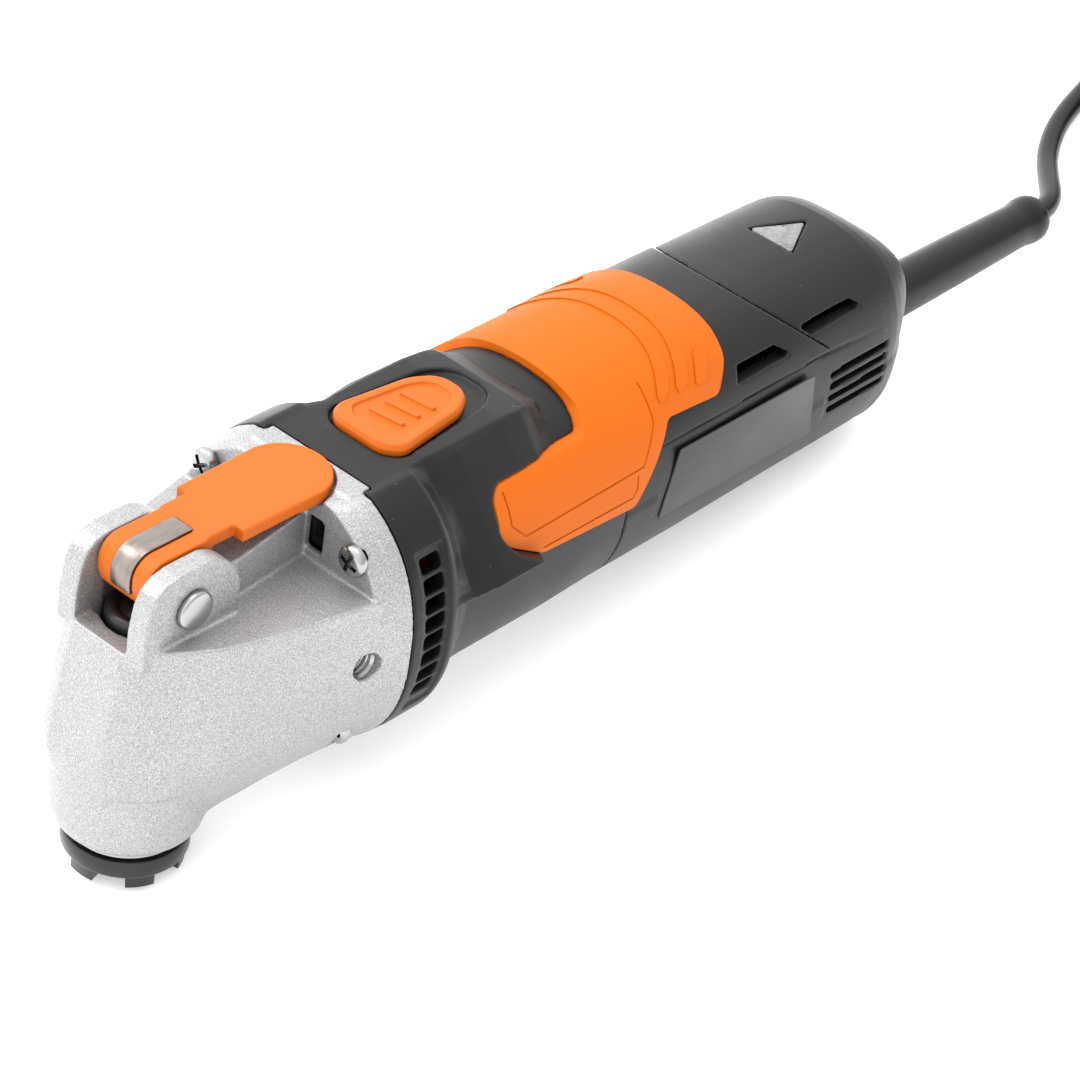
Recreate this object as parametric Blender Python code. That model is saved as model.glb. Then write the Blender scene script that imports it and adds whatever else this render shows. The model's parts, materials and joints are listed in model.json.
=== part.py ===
"""Corded oscillating multi tool, standing on its hub and its tail, with its cord.

The tool is built in millimetres in its own frame. The spindle axis is the z axis and the motor axis is the
x axis, with the tail towards +x. The two cross at the origin. An empty named tool_frame then stands the
whole tool on the floor. The cord is built straight in the floor's frame. bpy itself holds metres.
"""

import math

import bmesh
import bpy
import numpy as np
from mathutils import Matrix, Vector

MM = 0.001

# Stance of the tool on the floor.
LUG_BOTTOM = -53.2
LUG_REAR_X = 13.99
TAIL_CONTACT_X = 238.0
TAIL_BOTTOM = -31.0

# Head casting.
FLANGE_X = 50.2
FLANGE_A = 36.0
FLANGE_B = 37.6
SHELF_Z = 16.4
WALL_X = 42.2
EAR_IN = 8.1
EAR_OUT = 13.6
EAR_X = 3.1
EAR_Z = 22.8
PIN_X = 0.8
PIN_Z = 24.0
COLLAR_R = 17.5
COLLAR_BOTTOM = -42.0
SIDE_HOLE_X = 39.5

# Clamp lever.
LEVER_TOP = 35.3
LEVER_THICK = 3.2
LEVER_HALF = 10.7
LEVER_END_X = 52.2
NOSE_HALF = 7.6
NOSE_FRONT_X = -8.0
NOSE_TOP = 34.7
NOSE_BEND_R = 5.5
NOSE_SWEEP_R = 12.3
CAP_TOP = 17.6
CAP_R = 8.8

# Housings.
BARREL = 31.3
BARREL_N = 2.3
SEAM_LOW_X = 130.6
SEAM_Z = 14.0
SEAM_REAR_X = 211.5
SEAM_LEAN = 1.35
TAIL_X = 256.2
GRIP_OUT = 32.9
GRIP_IN = 30.7

# Motor and gear.
ECC = 0.78
SHAFT_R = 4.0
FAN_R = 29.0

# Switch button.
BUTTON_TOP = 36.2
PLATFORM_END_X = 113.0
PLATFORM_LEAN = math.radians(38)
BUTTON_X0 = 64.5
BUTTON_X1 = 97.2

# Cord guard, then the cord in metres on the floor: its route from the guard's end to the side of the coil.
GUARD_END_X = 349.0
GUARD_Z = -10.8
CORD_D = 0.0064
ROUTE = [
    (0.18406, 0.0000, 0.0091), (0.1880, 0.0002, 0.0087), (0.1925, 0.0011, 0.0081), (0.1970, 0.0030, 0.0073),
    (0.2012, 0.0057, 0.0064), (0.2055, 0.0091, 0.0055), (0.2100, 0.0126, 0.0046), (0.2150, 0.0164, 0.0038),
    (0.2203, 0.0200, 0.0034), (0.2260, 0.0232, 0.0033), (0.2320, 0.0260, 0.0033), (0.2385, 0.0284, 0.0033),
    (0.2455, 0.0303, 0.0033), (0.2525, 0.0318, 0.0034), (0.2590, 0.0330, 0.0036), (0.2652, 0.0339, 0.0040),
    (0.2712, 0.0345, 0.0042),
]
ROUTE_POINTS = 9
COIL_X = 0.2960
COIL_Y = -0.0080
COIL_IN = 26.6
COIL_OUT = 45.8
COIL_LOW = 1.0
COIL_HIGH = 18.5

# Pieces that move, each group with a point on its joint's axis.
JOINTS = {
    "lever_axis": ((PIN_X, 0.0, PIN_Z), ["clamp_lever", "lever_strip"]),
    "spindle_axis": ((0.0, 0.0, 0.0), ["spindle", "accessory_hub", "dust_ring", "rocker_fork"]),
    "clamp_axis": ((0.0, 0.0, 0.0), ["clamp_rod", "thrust_cap", "clamp_spring"]),
    "motor_axis": ((0.0, 0.0, 0.0), ["armature_shaft", "eccentric_bearing", "cooling_fan", "armature_core",
                                     "commutator"]),
    "switch_axis": ((80.0, 0.0, 30.0), ["switch_button", "switch_link"]),
}
SHIFT_X = -162.47
SHARP_DEGREES = 34.0

GAP = 0.3
FLAT_ANGLE = 1e-4


def clear_scene():
    """Removes what the startup scene holds."""
    for obj in list(bpy.data.objects):
        bpy.data.objects.remove(obj, do_unlink=True)


def material(name, color, rough, metal=0.0):
    mat = bpy.data.materials.get(name)
    if mat:
        return mat
    mat = bpy.data.materials.new(name)
    mat.use_nodes = True
    bsdf = mat.node_tree.nodes["Principled BSDF"]
    bsdf.inputs["Base Color"].default_value = (*color, 1)
    bsdf.inputs["Roughness"].default_value = rough
    bsdf.inputs["Metallic"].default_value = metal
    return mat


def make(name, verts, faces, mat=None):
    """A mesh object from points in millimetres, with its faces turned outwards."""
    mesh = bpy.data.meshes.new(name)
    mesh.from_pydata([tuple(c * MM for c in v) for v in verts], [], faces)
    bm = bmesh.new()
    bm.from_mesh(mesh)
    bmesh.ops.connect_verts_nonplanar(bm, angle_limit=FLAT_ANGLE, faces=bm.faces)
    bmesh.ops.recalc_face_normals(bm, faces=bm.faces)
    bm.to_mesh(mesh)
    bm.free()
    obj = bpy.data.objects.new(name, mesh)
    bpy.context.scene.collection.objects.link(obj)
    if mat:
        mesh.materials.append(mat)
    return obj


def rings(sections):
    """Points and faces of the skin through closed sections with the same number of points each."""
    n = len(sections[0])
    verts = [p for s in sections for p in s]
    faces = []
    for k in range(len(sections) - 1):
        for i in range(n):
            j = (i + 1) % n
            faces.append((k * n + i, k * n + j, (k + 1) * n + j, (k + 1) * n + i))
    faces.append(tuple(range(n)))
    faces.append(tuple((len(sections) - 1) * n + i for i in range(n)))
    return verts, faces


def prism(outline, lo, hi, plane):
    """Points and faces of an outline pushed along the axis that its plane leaves out."""
    def place(p, h):
        if plane == "xz":
            return (p[0], h, p[1])
        if plane == "xy":
            return (p[0], p[1], h)
        return (h, p[0], p[1])
    return rings([[place(p, lo) for p in outline], [place(p, hi) for p in outline]])


def turned(profile, steps, axis="z", centre=(0.0, 0.0, 0.0), closed=False):
    """A solid of revolution. The profile is (radius, height) pairs; a closed one makes a ring."""
    verts = []
    faces = []
    n = len(profile)
    for k in range(steps):
        a = 2 * math.pi * (k + 0.5) / steps
        for r, h in profile:
            c, s = r * math.cos(a), r * math.sin(a)
            if axis == "z":
                p = (c, s, h)
            elif axis == "x":
                p = (h, c, s)
            else:
                p = (s, h, c)
            verts.append(tuple(p[i] + centre[i] for i in range(3)))
    for k in range(steps):
        m = (k + 1) % steps
        for i in range(n if closed else n - 1):
            j = (i + 1) % n
            faces.append((k * n + i, k * n + j, m * n + j, m * n + i))
    if not closed:
        faces.append(tuple(k * n for k in range(steps)))
        faces.append(tuple(k * n + n - 1 for k in range(steps)))
    return verts, faces


def disc(r, h0, h1, steps, axis="z", centre=(0.0, 0.0, 0.0)):
    return turned([(r, h0), (r, h1)], steps, axis, centre)


def ring(r0, r1, h0, h1, steps, axis="z", centre=(0.0, 0.0, 0.0), chamfer=0.0):
    c = chamfer
    if c:
        prof = [(r0, h0), (r1 - c, h0), (r1, h0 + c), (r1, h1 - c), (r1 - c, h1), (r0, h1)]
    else:
        prof = [(r0, h0), (r1, h0), (r1, h1), (r0, h1)]
    return turned(prof, steps, axis, centre, closed=True)


def box(lo, hi):
    x0, y0, z0 = lo
    x1, y1, z1 = hi
    return prism([(x0, y0), (x1, y0), (x1, y1), (x0, y1)], z0, z1, "xy")


def boolean(target, other, operation):
    """Bakes one exact Boolean into the target's mesh and removes the other object."""
    mod = target.modifiers.new("bool", "BOOLEAN")
    mod.object = other
    mod.operation = operation
    mod.solver = "EXACT"
    graph = bpy.context.evaluated_depsgraph_get()
    graph.update()
    mesh = bpy.data.meshes.new_from_object(target.evaluated_get(graph))
    target.modifiers.remove(mod)
    old = target.data
    target.data = mesh
    mesh.name = old.name
    bpy.data.objects.remove(other, do_unlink=True)
    return target


def together(shapes):
    """Several shapes that don't touch as one list of points and one of faces."""
    verts = []
    faces = []
    for more_verts, more_faces in shapes:
        start = len(verts)
        verts += more_verts
        faces += [tuple(i + start for i in face) for face in more_faces]
    return verts, faces


def cut(target, *shapes):
    return boolean(target, make("cutter", *together(shapes)), "DIFFERENCE")


def join(target, *shapes):
    return boolean(target, make("cutter", *together(shapes)), "UNION")


def keep(target, shape):
    return boolean(target, make("cutter", *shape), "INTERSECT")


def super_point(angle, a, b, n):
    c, s = math.cos(angle), math.sin(angle)
    r = (abs(c / a) ** n + abs(s / b) ** n) ** (-1 / n)
    return r * c, r * s


def super_section(x, a, b, n, count, z0=0.0, top=None):
    """Section across the motor axis. top lowers everything above that height to it."""
    out = []
    for k in range(count):
        y, z = super_point(2 * math.pi * (k + 0.5) / count, a, b, n)
        if top is not None and z > top:
            z = top + 0.04 * (z - top)
        out.append((x, y, z + z0))
    return out


def table(x, rows):
    """Straight interpolation in a list of (x, value) rows."""
    xs = [r[0] for r in rows]
    return float(np.interp(x, xs, [r[1] for r in rows]))


# ---------------------------------------------------------------- head

# Half width of the gear body at its middle level, station by station.
FLANK = [(-14.6, 9.5), (-12, 13.6), (-8, 15.8), (-4, 18.4), (3, 22.4), (10, 24.8), (20, 27.6), (30, 29.7),
         (46, 33.2)]
# Centres of the screws that hold the head to the motor housing, in the yz plane.
SCREWS = [(-23.6, 24.3), (23.6, 24.3), (-25.0, -22.7), (25.0, -22.7)]
SCREW_FACE_X = 41.1


def plan_outline(level):
    """Outline of the gear body at one height, from its narrow front to the flange's section at its rear."""
    front = table(level, [(-38, -8.0), (-30, -16.0), (-24, -17.8), (-17, -19.2), (16.4, -13.6)])
    low = table(level, [(-38, 0.68), (-30, 0.78), (-24, 0.90), (-17, 1.0), (20, 1.0)])
    swell = table(level, [(-17, 1.03), (0, 1.03), (16.4, 0.97)])
    arch = (1 - (max(0.0, -level) / (FLANGE_B + 0.3)) ** 2.3) ** (1 / 2.3)
    side = []
    steps = 13
    for k in range(steps + 1):
        x = front + (46.0 - front) * (k / steps) ** 1.6
        shift = (front + 14.6) * max(0.0, 1 - (x - front) / 30.0)
        rear = min(1.0, max(0.0, (x - 6.0) / 34.0))
        w = table(x - shift, FLANK) * swell * (low + (arch - low) * rear)
        nose = min(1.0, (x - front) / 9.0)
        w *= 0.80 + 0.20 * math.sqrt(1 - (1 - nose) ** 2)
        side.append((x, w))
    far = [(x, w, level) for x, w in side]
    near = [(x, -w, level) for x, w in reversed(side)]
    return far + near


def gear_head(mat):
    levels = [-37.3, -35.5, -32.5, -29, -24, -17, -8, 2, SHELF_Z]
    head = make("gear_head", *rings([plan_outline(z) for z in levels]), mat)
    stations = [(41.6, 33.0, 35.2), (44.0, 34.3, 36.4), (47.0, 35.4, 37.3), (FLANGE_X, FLANGE_A, FLANGE_B)]
    flange = [super_section(x, a, b, 2.3, 40, 0, 34.0 - 0.1 * (FLANGE_X - x)) for x, a, b in stations]
    join(head, rings(flange))
    barrel = [(2.0, COLLAR_BOTTOM), (COLLAR_R - 1.3, COLLAR_BOTTOM), (COLLAR_R, -40.6), (18.4, -37.0),
              (18.8, -30.0), (18.9, -24.0), (19.5, -19.0), (19.4, -15.0), (17.0, -6.0), (2.0, -6.0)]
    join(head, turned(barrel, 32))
    join(head, prism(ear_outline(), -EAR_OUT, EAR_OUT, "xz"))
    web = [(12.0, 10.3), (WALL_X + 1, 7.5), (WALL_X + 1, -7.5), (12.0, -10.3)]
    low = [(x, y, SHELF_Z - 3) for x, y in web]
    high = [(x, y, 26.4 + 0.08 * (x - 17)) for x, y in web]
    join(head, rings([low, high]))
    join(head, box((FLANGE_X - 4, -15.4, 24), (FLANGE_X + 2.8, 15.4, 34.2)))
    cut_head(head)


def ear_outline():
    """Side outline of the ears: upright front edge, rounded top and a round rear edge."""
    pts = [(-13.4, SHELF_Z - 4), (-13.2, 22.0), (-12.2, 28.0), (-10.6, 31.4), (-7.8, 33.6), (-4.0, 34.5)]
    for k in range(7):
        a = math.radians(78 - k * 15)
        pts.append((EAR_X + 12.3 * math.cos(a), EAR_Z + 12.0 * math.sin(a)))
    pts.append((15.2, SHELF_Z - 4))
    return pts


def cut_head(head):
    """Every opening of the casting."""
    # The slot for the lever's nose, open to the front and the top, the round floor that clears the nose as the
    # lever turns, and the thrust cap's round pocket.
    slot = [(-25, 14.8), (9.5, 14.8), (13.2, 18.0), (14.9, 22.8), (14.9, 45), (-25, 45)]
    cut(head, prism(slot, -EAR_IN, EAR_IN, "xz"))
    cut(head, disc(NOSE_SWEEP_R + 0.5, -EAR_IN, EAR_IN, 36, "y", (PIN_X, 0, PIN_Z)))
    cut(head, disc(9.5, 5.7, 24.0, 28))
    # The finger pocket under the lever's rear end.
    pocket = [(30.0, -11.3)]
    for k in range(9):
        a = math.radians(-90 + 22.5 * k)
        pocket.append((41.2 + 11.5 * math.cos(a), 11.5 * math.sin(a)))
    pocket.append((30.0, 11.3))
    cut(head, prism(pocket, 31.4, 45, "xy"))
    # The stepped bore along the spindle axis.
    bore = [(9.6, -45), (9.6, -41.2), (14.2, -41.2), (14.2, -33.4), (12.4, -33.4), (12.4, -12), (10.8, -12),
            (10.8, 3.4), (5.2, 3.4), (5.2, 8.0)]
    cut(head, turned(bore, 28))
    # The gear room, open to the motor, and the seat of the bearing plate.
    room = [(10.5, -17.0, -28.0), (10.5, 17.0, -28.0), (10.5, 17.0, 9.5), (10.5, -17.0, 9.5)]
    end = FLANGE_X + 3
    rear = [(end, -25.0, -28.0), (end, 25.0, -28.0), (end, 25.0, 13.0), (end, -25.0, 13.0)]
    cut(head, rings([room, rear]))
    cut(head, disc(31.6, 45.4, FLANGE_X + 5, 40, "x"))
    # Pin bore, side handle holes and the two slots beside the web.
    cut(head, disc(3.15, -20, 20, 20, "y", (PIN_X, 0, PIN_Z)))
    hole = [(3.4, 20), (3.4, 33.2), (4.3, 34.0), (4.3, 40)]
    for side in (-1, 1):
        cut(head, turned([(r, side * h) for r, h in hole], 18, "y", (SIDE_HOLE_X, 0, 0)))
        y0, y1 = sorted((side * 7.8, side * 13.0))
        cut(head, box((WALL_X - 2, y0, 18.8), (46.5, y1, 27.6)))
    # Screw holes, the lower ones with a relief for their heads.
    cut(head, *(disc(2.35, 38, FLANGE_X + 2, 16, "x", (0, y, z)) for y, z in SCREWS))
    cut(head, *(disc(5.0, 25, 41.4, 20, "x", (0, y, z)) for y, z in SCREWS if z < 0))


def head_screws(mat):
    face = SCREW_FACE_X
    for i, (y, z) in enumerate(SCREWS):
        prof = [(1.9, 62.0), (1.9, face), (3.75, face), (3.75, face - 0.8), (3.1, face - 1.6),
                (1.4, face - 1.9)]
        screw = make(f"head_screw_{i + 1}", *turned(prof, 14, "x", (0, y, z)), mat)
        for w, h in ((1.9, 0.42), (0.42, 1.9)):
            cut(screw, box((face - 4, y - w, z - h), (face - 0.9, y + w, z + h)))


# ---------------------------------------------------------------- clamp

def nose_front(out, first_x, last_degrees, steps=6):
    """The nose's surface moved outwards: back along its top, round its bend and down its front."""
    bend_x = NOSE_FRONT_X + NOSE_BEND_R
    pts = [(first_x, NOSE_TOP + out)]
    for k in range(steps + 1):
        a = math.radians(90 + 90 * k / steps)
        pts.append((bend_x + (NOSE_BEND_R + out) * math.cos(a),
                    NOSE_TOP - NOSE_BEND_R + (NOSE_BEND_R + out) * math.sin(a)))
    below = max(2, int((last_degrees - 180) / 9))
    for k in range(1, below + 1):
        a = math.radians(180 + (last_degrees - 180) * k / below)
        pts.append((NOSE_FRONT_X + 10.6 + (10.6 + out) * math.cos(a), 28.6 + (10.1 + out) * math.sin(a)))
    return pts


def nose_outline():
    """Side outline of the lever's nose, a cam whose bend presses the thrust cap down as the lever opens."""
    top = LEVER_TOP
    pts = [(12.0, top - LEVER_THICK), (20.0, top - LEVER_THICK), (20.0, top), (10.3, top)]
    return pts + nose_front(0.0, 10.0, 300.0) + [(9.8, 23.5), (10.2, 28.0)]


def clamp_lever(mat):
    lever = make("clamp_lever", *prism(nose_outline(), -NOSE_HALF, NOSE_HALF, "xz"), mat)
    plan = [(18.0, -LEVER_HALF + 0.2), (LEVER_END_X - 10.9, -LEVER_HALF - 0.2)]
    for k in range(1, 12):
        a = math.radians(-90 + 15 * k)
        plan.append((LEVER_END_X - 10.9 + 10.9 * math.cos(a), 10.9 * math.sin(a)))
    plan += [(LEVER_END_X - 10.9, LEVER_HALF + 0.2), (18.0, LEVER_HALF - 0.2)]
    low = [(x, y, LEVER_TOP - LEVER_THICK) for x, y in plan]
    mid = [(x, y, LEVER_TOP - 0.5) for x, y in plan]
    high = [(x - 0.4 if x > 30 else x + 0.4, y * 0.95, LEVER_TOP + 0.001) for x, y in plan]
    join(lever, rings([low, mid, high]))
    cut(lever, disc(3.2, -12, 12, 20, "y", (PIN_X, 0, PIN_Z)))
    cut(lever, strip_band(-0.9, 2.0, 3.35, 10.05, 200.0))
    return lever


def strip_band(below, above, half, first_x, last_degrees):
    """A band round the nose between two distances from its surface, as one closed prism."""
    outer = nose_front(above, first_x, last_degrees)
    inner = nose_front(below, first_x, last_degrees)
    return prism(outer + list(reversed(inner)), -half, half, "xz")


def clamp_parts(steel, dark):
    make("lever_strip", *strip_band(-0.6, 0.45, 3.05, 9.75, 198.0), steel)
    half = [(2.85, 13.9), (4.8, 13.9), (4.8, 14.5), (4.2, 15.2), (3.6, 15.4), (0.6, 15.6)]
    pin = [(r, -y) for r, y in reversed(half)] + half
    make("pivot_pin", *turned(pin, 20, "y", (PIN_X, 0, PIN_Z)), steel)
    cap = [(3.0, CAP_TOP - 7.0), (7.9, CAP_TOP - 7.0), (CAP_R, CAP_TOP - 6.2), (CAP_R, CAP_TOP - 1.7),
           (8.3, CAP_TOP - 0.6), (7.2, CAP_TOP), (3.0, CAP_TOP)]
    make("thrust_cap", *turned(cap, 28, closed=True), dark)
    rod = [(2.7, CAP_TOP - 0.2), (2.7, -1.0), (4.3, -1.0), (4.3, -3.0), (2.7, -3.0), (2.7, -45.3),
           (4.6, -45.3), (4.6, -48.4), (3.4, -49.2)]
    make("clamp_rod", *turned(list(reversed(rod)), 16), steel)
    make("clamp_spring", *helix(3.75, 0.6, -19.4, -3.5, 6, 10, 5), steel)


def helix(radius, wire, z0, z1, turns, per_turn, sides):
    """A coil spring as one tube along a helix."""
    total = turns * per_turn
    sections = []
    pitch = (z1 - z0 - 2 * wire) / turns
    for k in range(total + 1):
        a = 2 * math.pi * k / per_turn
        z = z0 + wire + pitch * k / per_turn
        centre = Vector((radius * math.cos(a), radius * math.sin(a), z))
        out = Vector((math.cos(a), math.sin(a), 0))
        along = Vector((-math.sin(a), math.cos(a), pitch / (2 * math.pi * radius))).normalized()
        up = along.cross(out)
        sections.append([tuple(centre + wire * (math.cos(t) * out + math.sin(t) * up))
                         for t in (2 * math.pi * i / sides for i in range(sides))])
    return rings(sections)


def spindle_group(steel, dark):
    tube = [(5.1, -49.6), (7.3, -49.6), (7.3, 2.6), (4.9, 2.6), (4.9, -20.0), (3.1, -20.0), (3.1, -44.8),
            (5.1, -44.8)]
    make("spindle", *turned(tube, 20, closed=True), steel)
    disk = [(7.6, -49.9), (14.3, -49.9), (15.0, -49.3), (15.0, -45.4), (14.6, -45.0), (9.2, -45.0),
            (9.2, -42.8), (7.6, -42.8)]
    hub = make("accessory_hub", *turned(disk, 36, closed=True), dark)
    for k in range(6):
        a0 = math.radians(2 + 60 * k - 14)
        a1 = math.radians(2 + 60 * k + 14)
        am = (a0 + a1) / 2
        outline = [(14.0 * math.cos(a), 14.0 * math.sin(a)) for a in (a0, am, a1)]
        outline += [(9.8 * math.cos(a), 9.8 * math.sin(a)) for a in (a1, am, a0)]
        join(hub, prism(outline, LUG_BOTTOM, -49.0, "xy"))
    make("dust_ring", *ring(9.6, 14.1, -44.5, -43.5, 32), steel)
    make("lower_bearing", *ring(7.6, 13.9, -40.9, -33.9, 24), steel)
    make("upper_bearing", *ring(7.6, 10.5, -9.0, 1.0, 24), steel)
    fork = make("rocker_fork", *ring(7.6, 11.6, -26.0, -13.0, 28), steel)
    plate = [(8.5, -6.0), (11.4, -6.0), (14.0, -14.6), (33.0, -14.6), (33.0, 14.6), (14.0, 14.6), (11.4, 6.0),
             (8.5, 6.0)]
    arm = make("arm", *prism(plate, -25.0, -15.0, "xy"))
    cut(arm, box((22.0, -11.4, -30), (40, 11.4, 0)))
    cut(arm, disc(9.0, -30, -10, 28))
    boolean(fork, arm, "UNION")
    for side in (-1, 1):
        y0, y1 = sorted((side * 11.4, side * 14.6))
        join(fork, box((25.0, y0, -16.0), (33.0, y1, 5.0)))


# ---------------------------------------------------------------- motor

def motor_group(steel, copper, iron, plastic, carbon, brass):
    shaft = [(3.5, 25.5), (3.5, 34.0), (SHAFT_R, 35.5), (SHAFT_R, 169.0), (3.2, 170.0)]
    verts, faces = turned(shaft, 20, "x")
    verts = [(x, y, z + (ECC if x < 35.0 else 0.0)) for x, y, z in verts]
    make("armature_shaft", verts, faces, steel)
    make("eccentric_bearing", *ring(3.8, 9.5, 26.2, 32.2, 28, "x", (0, 0, ECC), 0.4), steel)
    make("front_bearing", *ring(4.25, 11.0, 44.6, 51.4, 24, "x"), steel)
    plate = [(11.3, 46.0), (31.2, 46.0), (31.2, 49.0), (13.6, 49.0), (13.6, 52.4), (11.3, 52.4)]
    make("bearing_plate", *turned(plate, 32, "x", closed=True), steel)
    wheel = [(4.3, 54.6), (FAN_R, 54.6), (FAN_R, 56.2), (9.0, 56.2), (9.0, 65.0), (4.3, 65.0)]
    fan = make("cooling_fan", *turned(wheel, 28, "x", closed=True), plastic)
    for k in range(9):
        a = 2 * math.pi * k / 9
        verts, faces = box((55.8, 8.0, -0.7), (64.0, 27.6, 0.7))
        turn = Matrix.Rotation(a, 3, "X")
        join(fan, ([tuple(turn @ Vector(v)) for v in verts], faces))
    core = [(4.3, 76.0), (10.0, 76.0), (15.0, 78.5), (15.0, 83.7), (17.2, 84.0), (17.2, 119.0), (15.0, 119.3),
            (15.0, 125.0), (9.5, 128.5), (4.3, 128.5)]
    make("armature_core", *turned(core, 24, "x", closed=True), copper)
    make("commutator", *ring(4.3, 11.0, 133.0, 148.0, 24, "x"), brass)
    make("rear_bearing", *ring(4.3, 9.5, 158.0, 164.0, 24, "x"), steel)
    stator = make("field_stator", *ring(17.9, 25.6, 84.0, 119.0, 32, "x"), iron)
    for side in (-1, 1):
        for x0, x1 in ((79.0, 85.0), (118.0, 124.0)):
            z0, z1 = sorted((side * 17.9, side * 23.6))
            join(stator, box((x0, -12.0, z0), (x1, 12.0, z1)))
    for i, side in enumerate((-1, 1)):
        y0, y1 = sorted((side * 14.5, side * 26.5))
        holder = make(f"brush_holder_{i + 1}", *box((135.0, y0, -5.6), (146.0, y1, 5.6)), brass)
        y2, y3 = sorted((side * 13.0, side * 25.0))
        cut(holder, box((137.2, y2, -3.3), (143.8, y3, 3.3)))
        y4, y5 = sorted((side * 11.4, side * 22.0))
        make(f"carbon_brush_{i + 1}", *box((137.5, y4, -3.0), (143.5, y5, 3.0)), carbon)


# ---------------------------------------------------------------- housings

def shell_rows():
    """Half width, half height and exponent of the outside of the housings at each station."""
    return [(FLANGE_X + GAP, FLANGE_A, FLANGE_B, 2.3), (53.6, 36.2, 37.8, 2.3), (64.4, 36.2, 37.8, 2.3),
            (65.6, 35.6, 37.0, 2.3), (70.0, 32.6, 33.4, 2.3), (73.0, 31.5, 31.8, BARREL_N),
            *((x, BARREL, BARREL, BARREL_N) for x in (80.0, 92.0, 103.0, 108.0, 112.9, 113.2, 128.0)),
            (160.0, BARREL, BARREL, 2.45), (200.0, 30.7, 30.9, 2.45), (238.0, 30.1, -TAIL_BOTTOM, 2.35),
            (243.0, 28.6, 29.4, 2.7), (247.5, 26.0, 26.8, 3.2), (251.5, 23.3, 23.8, 3.8),
            (254.5, 20.4, 20.6, 3.8), (TAIL_X, 16.5, 17.0, 3.4)]


def outer_section(x, a, b, n, count=40):
    """One station of the housings' outside, with the raised switch platform on top."""
    top_z = table(x, [(50, 34.0), (70, 34.4), (97, 34.8), (106, 34.0), (113, 31.2)])
    half = table(x, [(50, 15.6), (68, 15.4), (76, 17.4), (104, 16.6), (112, 13.0)])
    under = table(x, [(110, 2.3), (130, 2.18), (238, 2.15), (243, 2.5), (248, 2.9), (252, 3.2), (256, 3.2)])
    out = []
    for k in range(count):
        angle = 2 * math.pi * (k + 0.5) / count
        y, z = super_point(angle, a, b, under if math.sin(angle) < 0 else n)
        if x < PLATFORM_END_X and math.sin(angle) > 0.15:
            y, z = on_platform(angle, x, y, z, top_z, half)
        out.append((x, y, z))
    return out


def on_platform(angle, x, y, z, top_z, half):
    """A point of the barrel, moved out to the switch platform's top or leaning side if that is farther."""
    s = math.sin(angle)
    nx, nz = math.cos(PLATFORM_LEAN), math.sin(PLATFORM_LEAN)
    flat = top_z / s
    side = (half * nx + (top_z - 1.0) * nz) / (abs(math.cos(angle)) * nx + s * nz)
    r = math.hypot(y, z)
    if x < 69.0 and abs(y) < half + 1.0:
        r = min(r, flat)
    r = max(r, min(flat, side))
    return r * math.cos(angle), r * s


def outer_shape():
    return rings([outer_section(*row) for row in shell_rows()])


def inner_shape():
    """The hollow inside the housings, closed towards the tail."""
    rows = [(FLANGE_X - 2, 32.0, 31.6), (66.0, 32.0, 31.6), (73.0, 28.7, 28.9), (190.0, 28.6, 28.8),
            (200.0, 28.0, 28.2), (238.0, 27.4, 28.0), (244.0, 25.0, 25.6), (249.0, 21.6, 22.0),
            (252.6, 16.4, 16.8)]
    return rings([super_section(x, a, b, 2.2, 28) for x, a, b in rows])


# Side outline of the rubber grip that is moulded over the housing.
GRIP_SIDE = [(121.6, 36.5), (121.6, 29.0), (118.6, 24.6), (87.6, 24.2), (84.6, 21.8), (83.6, 15.0),
             (86.4, 11.4), (98.0, 5.2), (131.6, 3.4), (146.2, 20.4), (165.0, 19.6), (171.6, 25.4),
             (173.4, 30.0), (173.4, 36.5)]


def grown(outline, by):
    """The outline moved outwards by a distance, corner by corner."""
    n = len(outline)
    ends = zip(outline, outline[1:] + outline[:1])
    area = sum(a[0] * b[1] - b[0] * a[1] for a, b in ends)
    sign = 1.0 if area > 0 else -1.0
    out = []
    for i in range(n):
        p0, p1, p2 = Vector(outline[i - 1]), Vector(outline[i]), Vector(outline[(i + 1) % n])
        d0, d1 = (p1 - p0).normalized(), (p2 - p1).normalized()
        n0, n1 = Vector((d0.y, -d0.x)) * sign, Vector((d1.y, -d1.x)) * sign
        m = (n0 + n1).normalized()
        out.append(tuple(p1 + m * (by / max(0.4, m.dot(n0)))))
    return out


def grip_tube(outside, inside, x0, x1):
    """A tube with the barrel's section between two half widths."""
    count = 40
    outer = [super_section(x, outside, outside, 2.3, count) for x in (x0, x1)]
    tube = make("tube", *rings(outer))
    inner = [super_section(x, inside, inside, 2.3, count) for x in (x0 - 5, x1 + 5)]
    cut(tube, rings(inner))
    return tube


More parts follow.
